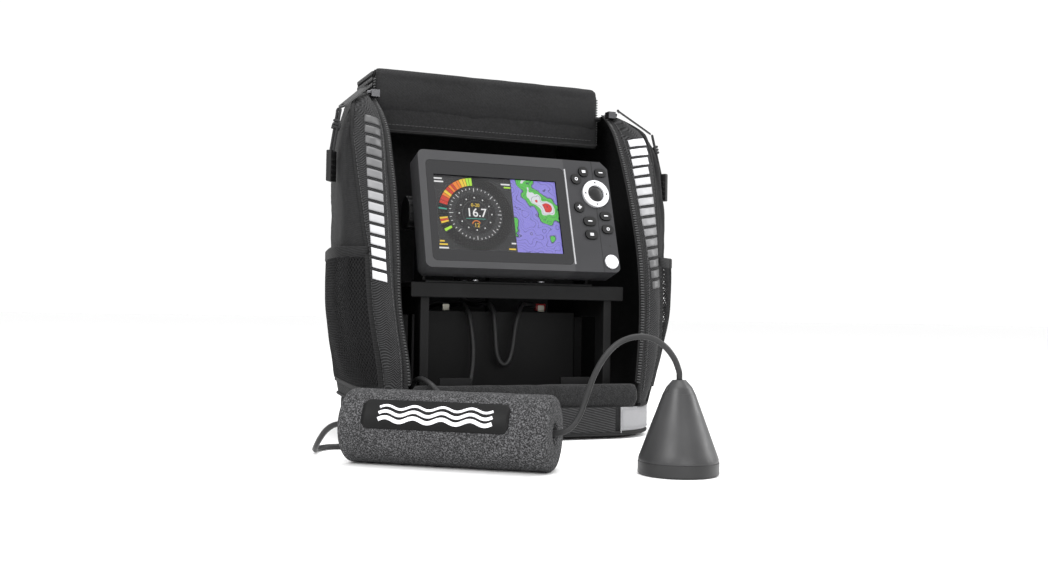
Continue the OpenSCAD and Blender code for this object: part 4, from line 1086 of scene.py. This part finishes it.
# ---- float ----
def float_piece(mats):
    """Foam float with soft ends, a bore and a slit, and a plain label."""
    turn = math.radians(-37.9)
    along = Vector((math.cos(turn), math.sin(turn), 0))
    rear = Vector((-math.sin(turn), math.cos(turn), 0))
    centre = Vector((-106.3, -207, FLOAT_D / 2))
    sides, bore_sides = 72, 30
    gap = 0.55

    def section(x, grow, bore):
        c = centre + along * x
        r = FLOAT_D / 2 - grow
        b = FLOAT_BORE / 2 + bore
        out_gap, in_gap = math.asin(gap / r), math.asin(gap / b)
        outer = [out_gap + (2 * math.pi - 2 * out_gap) * k / sides for k in range(sides + 1)]
        inner = [in_gap + (2 * math.pi - 2 * in_gap) * k / bore_sides for k in range(bore_sides + 1)]
        dent = 0.25 * ripple(x * 0.05, 0, 9)
        walls = [0.25, 0.5, 0.75]

        def place(rad, a):
            return c + rear * rad * math.cos(a) + Vector((0, 0, 1)) * rad * math.sin(a)

        line = [place(r + dent, a) for a in outer]
        line += [place(r + (b - r) * t, 2 * math.pi - (out_gap + (in_gap - out_gap) * t)) for t in walls]
        line += [place(b, a) for a in reversed(inner)]
        line += [place(b + (r - b) * t, in_gap + (out_gap - in_gap) * t) for t in walls]
        return line

    half = FLOAT_LEN / 2
    soft = 4.5
    body = []
    for k in range(8):
        t = math.radians(90 * k / 7)
        body.append((-half + soft * (1 - math.cos(t)), soft * (1 - math.sin(t)), 1.5 * (1 - math.sin(t))))
    middle = [(x, 0.0, 0.0) for x in spread_out(-half + soft, half - soft, 26)[1:-1]]
    other = [(-x, g, b) for x, g, b in reversed(body)]
    rings = [section(x, g, b) for x, g, b in body + middle + other]
    points, faces = loft(rings, True, False)
    m = len(rings[0])
    for base, flip in ((0, False), ((len(rings) - 1) * m, True)):
        bore_ids = [sides + 1 + 3 + bore_sides - k for k in range(bore_sides + 1)]
        for k in range(sides):
            i0 = bore_ids[round(k * bore_sides / sides)]
            i1 = bore_ids[round((k + 1) * bore_sides / sides)]
            quad = [k, k + 1, i1] + ([i0] if i0 != i1 else [])
            quad = [base + q for q in quad]
            faces.append(tuple(reversed(quad)) if flip else tuple(quad))
    foam_piece = piece("float_foam", points, faces, [mats["foam"]], "float_body", "foam", ("float_body",))

    def on_label(x, a, lift):
        r = FLOAT_D / 2 + lift
        return centre + along * x - rear * r * math.cos(a) + Vector((0, 0, 1)) * r * math.sin(a)

    def patch(x0, x1, a0, a1, lift, round_by, nx=40, na=14):
        grid, under = [], []
        for i in range(nx + 1):
            x = x0 + (x1 - x0) * i / nx
            cut = max(0.0, round_by - min(x - x0, x1 - x))
            trim = round_by - math.sqrt(max(0.0, round_by ** 2 - cut ** 2))
            da = trim / (FLOAT_D / 2)
            grid.append([on_label(x, a0 + da + (a1 - a0 - 2 * da) * j / na, lift) for j in range(na + 1)])
            under.append([on_label(x, a0 + da + (a1 - a0 - 2 * da) * j / na, 0.0) for j in range(na + 1)])
        return shell(grid, under)

    points, faces = patch(-54, 47, math.radians(2), math.radians(49), 0.45, 4.0)
    piece("float_label", points, faces, [mats["label"]], "float_body", "socket_plastic")
    marks = []
    for k in range(3):
        path = []
        for i in range(61):
            turned = math.radians(16 + 9.5 * k) + 0.055 * math.sin(2 * math.pi * i / 15)
            path.append(on_label(-42 + 78 * i / 60, turned, 0.62))
        marks.append(sweep(path, slab(0.7, 2.6 - 0.5 * k, 0.2), side=-rear))
    group("float_label_waves", marks, [mats["print"]], "float_body", "socket_plastic")


# ---- display ----
def face_piece(name, points, faces, materials, body="head", slot=None, picks=None, smooth=False):
    return piece(name, [on_face(*p) for p in points], faces, materials, body, slot, (), picks, smooth)


def sector(cu, cv, r0, r1, a0, a1, depth, steps=10):
    """Flat ring sector on the screen, angles in degrees counterclockwise from the right."""
    points, faces = [], []
    for k in range(steps + 1):
        a = math.radians(a0 + (a1 - a0) * k / steps)
        for r in (r0, r1):
            points.append((cu + r * math.cos(a), depth, cv + r * math.sin(a)))
    for k in range(steps):
        faces.append((2 * k, 2 * k + 1, 2 * k + 3, 2 * k + 2))
    return points, faces


def flat_box(u0, v0, u1, v1, depth):
    return [(u0, depth, v0), (u1, depth, v0), (u1, depth, v1), (u0, depth, v1)], [(0, 1, 2, 3)]


def screen(mats):
    """The lit picture: a round depth flasher on the left and a contour map on the right."""
    u0, u1, v0, v1, split = -73.3, 34.7, -35.4, 29.4, -5.8
    cu, cv = -39.4, -3.0
    parts = []

    def arc(r0, r1, a0, a1, pick, depth=1.82, steps=6, at=cv):
        parts.append((*sector(cu, at, r0, r1, a0, a1, depth, steps), pick))

    def patch(ends, pick, depth=1.82):
        parts.append((*flat_box(*ends, depth), pick))

    patch((u0, v0, split, v1), 0, 1.86)
    patch((split, v0, u1, v1), 1, 1.86)
    for r0, r1, pick in ((23.4, 32.2, 2), (17.6, 23.2, 3), (0, 17.4, 4)):
        arc(r0, r1, 0, 360, pick, 1.84, 72)
    arc(11.2, 11.5, 0, 360, 5, steps=60)
    colours = (6, 6, 7, 7, 8, 8, 9, 8, 9, 7, 8, 9, 9)
    widths = (5.5, 5.0, 5.0, 6.0, 5.0, 7.0, 4.0, 5.0, 6.5, 5.5, 5.0, 8.0, 6.0)
    at = 92.0
    for pick, wide in zip(colours, widths):
        arc(24.6, 31.4, at, at + wide - 0.7, pick)
        at += wide
    for a, wide, pick in ((172, 2.4, 10), (188, 3.0, 7), (191.4, 3.4, 9), (195, 3.0, 7), (207, 4.5, 6)):
        arc(24.6, 31.4, a, a + wide, pick, steps=4)
    for k in range(40):
        arc(22.6 - (3.4 if k % 5 == 0 else 1.5), 22.6, 9 * k - 0.6, 9 * k + 0.6, 11, steps=1)
    for k in range(12):
        arc(13.6, 14.6, 30 * k - 2, 30 * k + 2, 11, steps=1)
    arc(3.1, 3.8, 20, 170, 8, steps=12, at=cv - 9.5)
    patch((cu - 8.5, cv - 4.6, cu + 8.5, cv - 4.1), 10)
    for du, dv, w, pick in ((-30, 29.6, 7, 11), (-30, 26.8, 9, 11), (28.5, 27.5, 8, 11), (30, 24.8, 6, 6),
                            (-30.5, -24.6, 4, 7), (-29.5, -27.4, 7, 7), (-29.9, -30.4, 9, 11),
                            (31, -24.5, 4, 11), (29.3, -29.5, 6, 7)):
        patch((cu + du - w / 2, cv + dv - 0.7, cu + du + w / 2, cv + dv + 0.6), pick)
    points, faces, picks = merged(parts)
    order = "panel map black dial disc line lime yellow orange red teal white".split()
    lit_mats = [mats[f"lit_{k}"] for k in order]
    face_piece("screen_picture", points, faces, lit_mats, slot="screen", picks=picks)
    for text, size, du, dv, mat in (("16.7", 7.6, -7.9, -2.4, "lit_white"),
                                    ("12", 3.6, -2.1, -11.6, "lit_yellow"),
                                    ("0-20", 3.0, -3.4, 6.2, "lit_yellow")):
        curve = bpy.data.curves.new("figures", "FONT")
        curve.body = text
        curve.size = size * MM * 1.35
        curve.fill_mode = "BOTH"
        curve.offset = 0.00012 if size > 5 else 0.00003
        curve.materials.append(mats[mat])
        figure = bpy.data.objects.new(f"figures_{text.replace('.', '_')}", curve)
        bpy.context.scene.collection.objects.link(figure)
        figure.location = on_face(cu + du, 1.80, cv + dv) * MM
        figure.rotation_euler = (math.pi / 2 - LEAN, 0, 0)
        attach(figure, "head")


KEY_MARKS = {"key_menu": (61.8, 40), "key_view": (54, 32.8), "key_exit": (78, 40), "key_zoom_in": (54, 7),
             "key_zoom_out": (62.2, -5.4), "key_mark": (77.8, 0), "key_goto": (62.4, -17.4),
             "key_check": (78.2, -12)}


def key_symbols(mats):
    """Small plain symbols on the keys and arrows on the ring, with the ring's centre cap, the glass edge trim
    and the light sensor.
    """
    for k, (name, (u, v)) in enumerate(KEY_MARKS.items()):
        parts = [flat_box(u - 1.9, v - 0.35, u + 1.9, v + 0.35, -1.34)]
        if name == "key_zoom_in":
            parts.append(flat_box(u - 0.35, v - 1.9, u + 0.35, v + 1.9, -1.34))
        elif k % 3 == 0:
            parts = [flat_box(u - 1.7, v + d - 0.25, u + 1.7, v + d + 0.25, -1.34) for d in (-0.9, 0, 0.9)]
        elif k % 3 == 1 and name != "key_zoom_out":
            parts = [sector(u, v, 0.9, 1.4, 0, 360, -1.34, 20)]
        points, faces, _ = merged(parts)
        face_piece(f"symbol_{name}", points, faces, [mats["print"]], name, "key_rubber")
    cu, cv, r = 70.8, 20, 10
    parts = []
    for a in (0, 90, 180, 270):
        d = (math.cos(math.radians(a)), math.sin(math.radians(a)))
        n = (-d[1], d[0])
        tip = (cu + d[0] * (r + 0.9), -2.05, cv + d[1] * (r + 0.9))
        left = (cu + d[0] * (r - 0.7) + n[0] * 1.3, -2.05, cv + d[1] * (r - 0.7) + n[1] * 1.3)
        right = (cu + d[0] * (r - 0.7) - n[0] * 1.3, -2.05, cv + d[1] * (r - 0.7) - n[1] * 1.3)
        parts.append(([tip, left, right], [(0, 1, 2)]))
    points, faces, _ = merged(parts)
    face_piece("symbol_arrows", points, faces, [mats["rear"]], "cursor_pad", "silver_plastic")
    cap = []
    for rad, depth in ((0.01, -1.9), (3, -1.85), (5.6, -1.5), (6.9, -0.9), (7.4, -0.62)):
        cap.append([(cu + rad * math.cos(math.radians(a)), depth, cv + rad * math.sin(math.radians(a)))
                    for a in range(0, 360, 10)])
    points, faces = loft(cap, True, True)
    face_piece("cursor_centre", points, faces, [mats["key"]], "cursor_pad", "key_rubber", smooth=True)
    trim = [(43.3, 0.2, -44.0), (44.5, -0.35, -44.2), (45.1, 0.05, -44.2)]
    top = [(u, d, 41.6) for u, d, _ in trim]
    points, faces = loft([trim, top], False, False)
    face_piece("glass_edge_trim", points, faces, [mats["rim"]], "head", "bezel_plastic")
    dot = sector(78.6, -26.8, 0, 0.9, 0, 360, -0.06, 16)
    face_piece("light_sensor", *dot, [mats["lit_black"]], "head", "bezel_plastic")


def dress(name, material, width=0.0, segments=2):
    """Gives a CAD node its finish and rounds its edges."""
    obj = NODES[name]
    obj.data.materials.clear()
    obj.data.materials.append(material)
    if width:
        soften(obj, width, segments)


def bezel_plastic(name):
    """Satin charcoal, lighter round the glass, with a fine joint beside the keys."""
    m = Material(name, grey(0.04), 0.36, Specular_IOR_Level=0.25)
    u = m.along((1, 0, 0))
    keypad = m.math("GREATER_THAN", u, 43.6 * MM)
    joint = m.math("LESS_THAN", m.math("ABSOLUTE", m.math("SUBTRACT", u, 70.4 * MM)), 0.28 * MM)
    base = m.mix(keypad, (0.034, 0.034, 0.036), (0.020, 0.020, 0.022))
    base = m.mix(m.math("MULTIPLY", m.noise(35, 3), 0.25), base, (0.055, 0.055, 0.056))
    m.colour(m.mix(joint, base, (0.004, 0.004, 0.004)))
    m.rough(m.math("MULTIPLY_ADD", m.noise(80, 3), 0.2, 0.28))
    m.bump(m.noise(2600, 2), 0.02, 0.5)
    return m.material


def cover_glass(name):
    """Black cover glass, clear over the picture."""
    m = Material(f"cover_{name}", (0.004, 0.004, 0.005), 0.06, Coat_Weight=0.4, Coat_Roughness=0.03)
    u = m.math("ABSOLUTE", m.math("SUBTRACT", m.along((1, 0, 0)), -19.3 * MM))
    up = (0, math.sin(LEAN), math.cos(LEAN))
    mid = on_face(0, 0, -3) * MM
    v = m.math("ABSOLUTE", m.math("SUBTRACT", m.along(up), mid.dot(Vector(up))))
    wide = m.math("LESS_THAN", u, 54.1 * MM)
    high = m.math("LESS_THAN", v, 32.5 * MM)
    clear = m.math("MULTIPLY", wide, high)
    m.tree.links.new(m.math("MULTIPLY_ADD", clear, -0.93, 1.0), m.shader.inputs["Alpha"])
    m.bump(m.noise(9, 2), 0.03, 0.05)
    return m.material


def contour_map(name):
    """Contour map: deep and shallow water in flat colours, with thin depth lines."""
    m = Material(name, (0, 0, 0), 0.4)
    depth = m.noise(34, 2.5, 0.5)
    low = m.math("MULTIPLY_ADD", m.along((0, 0, 1)), -2.2, 0.44)
    height = m.math("ADD", depth, m.math("MULTIPLY", low, 0.6))
    stops = [(0.0, (0.28, 0.25, 0.75)), (0.54, (0.30, 0.27, 0.72)), (0.555, (0.02, 0.02, 0.06)),
             (0.565, (0.10, 0.55, 0.08)), (0.62, (0.75, 0.78, 0.82)), (0.67, (0.72, 0.03, 0.02))]
    colour = m.ramp(height, stops, "CONSTANT")
    lines = m.math("LESS_THAN", m.math("PINGPONG", m.math("ADD", height, 0.02), 0.022), 0.0022)
    shown = m.mix(m.math("MULTIPLY", lines, 0.75), colour, (0.03, 0.03, 0.10))
    m.tree.links.new(shown, m.shader.inputs["Emission Color"])
    m.shader.inputs["Emission Strength"].default_value = 1.0
    return m.material


def battery_plastic(name):
    """Battery case, with plated terminals above its top."""
    m = Material(name, grey(0.006), 0.55, Specular_IOR_Level=0.12)
    above = m.math("GREATER_THAN", m.along((0, 0, 1)), 103.6 * MM)
    m.colour(m.mix(above, grey(0.006), (0.6, 0.58, 0.5)))
    m.tree.links.new(above, m.shader.inputs["Metallic"])
    m.bump(m.noise(1100, 2), 0.05, 0.5)
    return m.material


def finishes():
    """Every finish by name."""
    made = {}
    for maker, name, *values in (
            (fabric, "nylon", 0.007, 0.020, 1.2, 0.25, 0.8, 0.02),
            # Inner cloth of the case, darkened below the nylon as painted shade inside the case.
            (fabric, "shaded_lining", 0.003, 0.008, 1.0, 0.15, 0.9, 0.0),
            (herringbone, "cheek", 0.008, 0.040),
            (fabric, "grey_panel", 0.20, 0.28, 1.0, 0.2, 0.7, 0.0, 0.3),
            (grosgrain, "binding", 0.005, 0.020, (0, 0.3, 1), 1.3),
            (grosgrain, "webbing", 0.006, 0.028, (1, 0, 0), 1.6),
            (grosgrain, "hook", 0.008, 0.035, (0.25, 0, 1), 2.0),
            (fuzzy, "pile", 0.006, 0.022),
            (fabric, "net", 0.005, 0.02, 0.7, 0.1, 0.7, 0.0),
            (plastic, "thread", 0.03, 0.06, 0.7),
            (plastic, "thread_grey", 0.25, 0.35, 0.7),
            (grosgrain, "zip_tape", 0.004, 0.012, (0, 0.2, 1), 1.0),
            (plastic, "zip_teeth", 0.015, 0.03, 0.3, 0.02, 1500),
            (metal, "slider", (0.10, 0.10, 0.105), 0.32),
            (plastic, "tab", 0.010, 0.03, 0.35, 0.03, 900, 0.0, 0.3),
            (grosgrain, "cord", 0.008, 0.04, (0.2, 0.2, 1), 1.1),
            (plastic, "socket", 0.008, 0.016, 0.5, 0.05, 1400, 0.0, 0.25),
            (plastic, "abs", 0.004, 0.008, 0.5, 0.08, 1200, 0.0, 0.12),
            (battery_plastic, "battery"),
            (plastic, "bracket", 0.008, 0.018, 0.4, 0.06, 1500, 0.0, 0.25),
            (metal, "steel", (0.5, 0.5, 0.52), 0.3),
            (bezel_plastic, "bezel"),
            (plastic, "rim", 0.30, 0.36, 0.3),
            (plastic, "rear", 0.008, 0.016, 0.42, 0.08, 1600, 0.0, 0.3),
            (cover_glass, "glass"),
            (plastic, "board", (0.01, 0.10, 0.04), (0.02, 0.16, 0.07), 0.35),
            (plastic, "silicone", 0.03, 0.045, 0.7),
            (plastic, "key", 0.006, 0.010, 0.38, 0.02, 1800, 0.0, 0.3),
            (plastic, "silver", 0.62, 0.70, 0.28, 0.02, 2000, 0.3, 0.5, 0.35),
            (plastic, "cable", 0.012, 0.024, 0.5, 0.06, 700, 0.0, 0.3),
            (speckled_foam, "foam"),
            (plastic, "probe", 0.022, 0.034, 0.40, 0.05, 1500, 0.0, 0.4),
            (plastic, "probe_dark", 0.012, 0.02, 0.42, 0.05, 1500, 0.0, 0.35),
            (plastic, "ceramic", (0.55, 0.5, 0.36), (0.65, 0.6, 0.45), 0.5),
            (plastic, "label", 0.004, 0.007, 0.5, 0.01, 900, 0.0, 0.12),
            (plastic, "print", 0.75, 0.82, 0.5),
            (plastic, "red_plastic", (0.25, 0.01, 0.01), (0.35, 0.02, 0.02), 0.4),
            (lit, "lit_panel", (0.022, 0.022, 0.024)),
            (contour_map, "lit_map"),
            (lit, "lit_black", (0.0, 0.0, 0.0)),
            (lit, "lit_dial", (0.030, 0.030, 0.032)),
            (lit, "lit_disc", (0.008, 0.008, 0.009)),
            (lit, "lit_line", (0.10, 0.10, 0.10)),
            (lit, "lit_lime", (0.45, 0.85, 0.05)),
            (lit, "lit_yellow", (0.90, 0.62, 0.04)),
            (lit, "lit_orange", (0.90, 0.24, 0.02)),
            (lit, "lit_red", (0.65, 0.04, 0.02)),
            (lit, "lit_teal", (0.05, 0.40, 0.30)),
            (lit, "lit_white", (0.85, 0.85, 0.85))):
        made[name] = maker(name, *values)
    # Tones of the cheek bars from bright to dark: the bright end is the light print, the darkening towards
    # the other end is painted shade.
    painted_bar_shade = (0.55, 0.54, 0.50, 0.44, 0.38, 0.31, 0.25, 0.20, 0.15, 0.115, 0.09, 0.07, 0.055, 0.045, 0.04)
    made["bars"] = [plastic(f"bar_{i}", v, v * 1.15, 0.45, 0.03, 900) for i, v in enumerate(reversed(painted_bar_shade))]
    return made


def hard_parts(mats):
    """Finishes and rounded edges of the CAD nodes that show."""
    for name, key, width in (
            ("shuttle_tray", "abs", 0.8), ("shuttle_stand", "abs", 0.9), ("battery", "battery", 0.8),
            ("gimbal_bracket", "bracket", 0.7), ("bracket_screws", "steel", 0.3),
            ("knob_left", "bracket", 0.5), ("knob_right", "bracket", 0.5), ("front_bezel", "bezel", 0.9),
            ("rear_case", "rear", 0.9), ("display_window", "glass", 0.0), ("lcd_panel", "lit_black", 0.0),
            ("main_board", "board", 0.2), ("keypad_mat", "silicone", 0.2), ("case_screws", "steel", 0.2),
            ("rear_sockets", "socket", 0.3), ("power_plug", "cable", 0.6),
            ("transducer_plug", "cable", 0.6), ("card_door", "rear", 0.4),
            ("cursor_pivot", "silicone", 0.0), ("cursor_pad", "silver", 0.7), ("key_power", "silver", 0.3),
            ("zipper_slider_left", "slider", 0.6), ("zipper_slider_right", "slider", 0.6),
            ("pull_tab_left", "tab", 0.4), ("pull_tab_right", "tab", 0.4),
            ("transducer_shell", "probe", 0.8), ("transducer_base", "probe_dark", 0.8),
            ("transducer_cap", "probe", 0.6), ("piezo_element", "ceramic", 0.2)):
        dress(name, mats[key], width, 3 if width > 0.5 else 2)
    for name in KEY_MARKS:
        dress(name, mats["key"], 0.7, 3)


look()
studio()
MATS = finishes()
cords(MATS)
hard_parts(MATS)
side_panels(MATS)
zippers(MATS)
boot(MATS)
panels(MATS)
handle(MATS)
pockets(MATS)
flap(MATS)
pulls(MATS)
float_piece(MATS)
screen(MATS)
key_symbols(MATS)
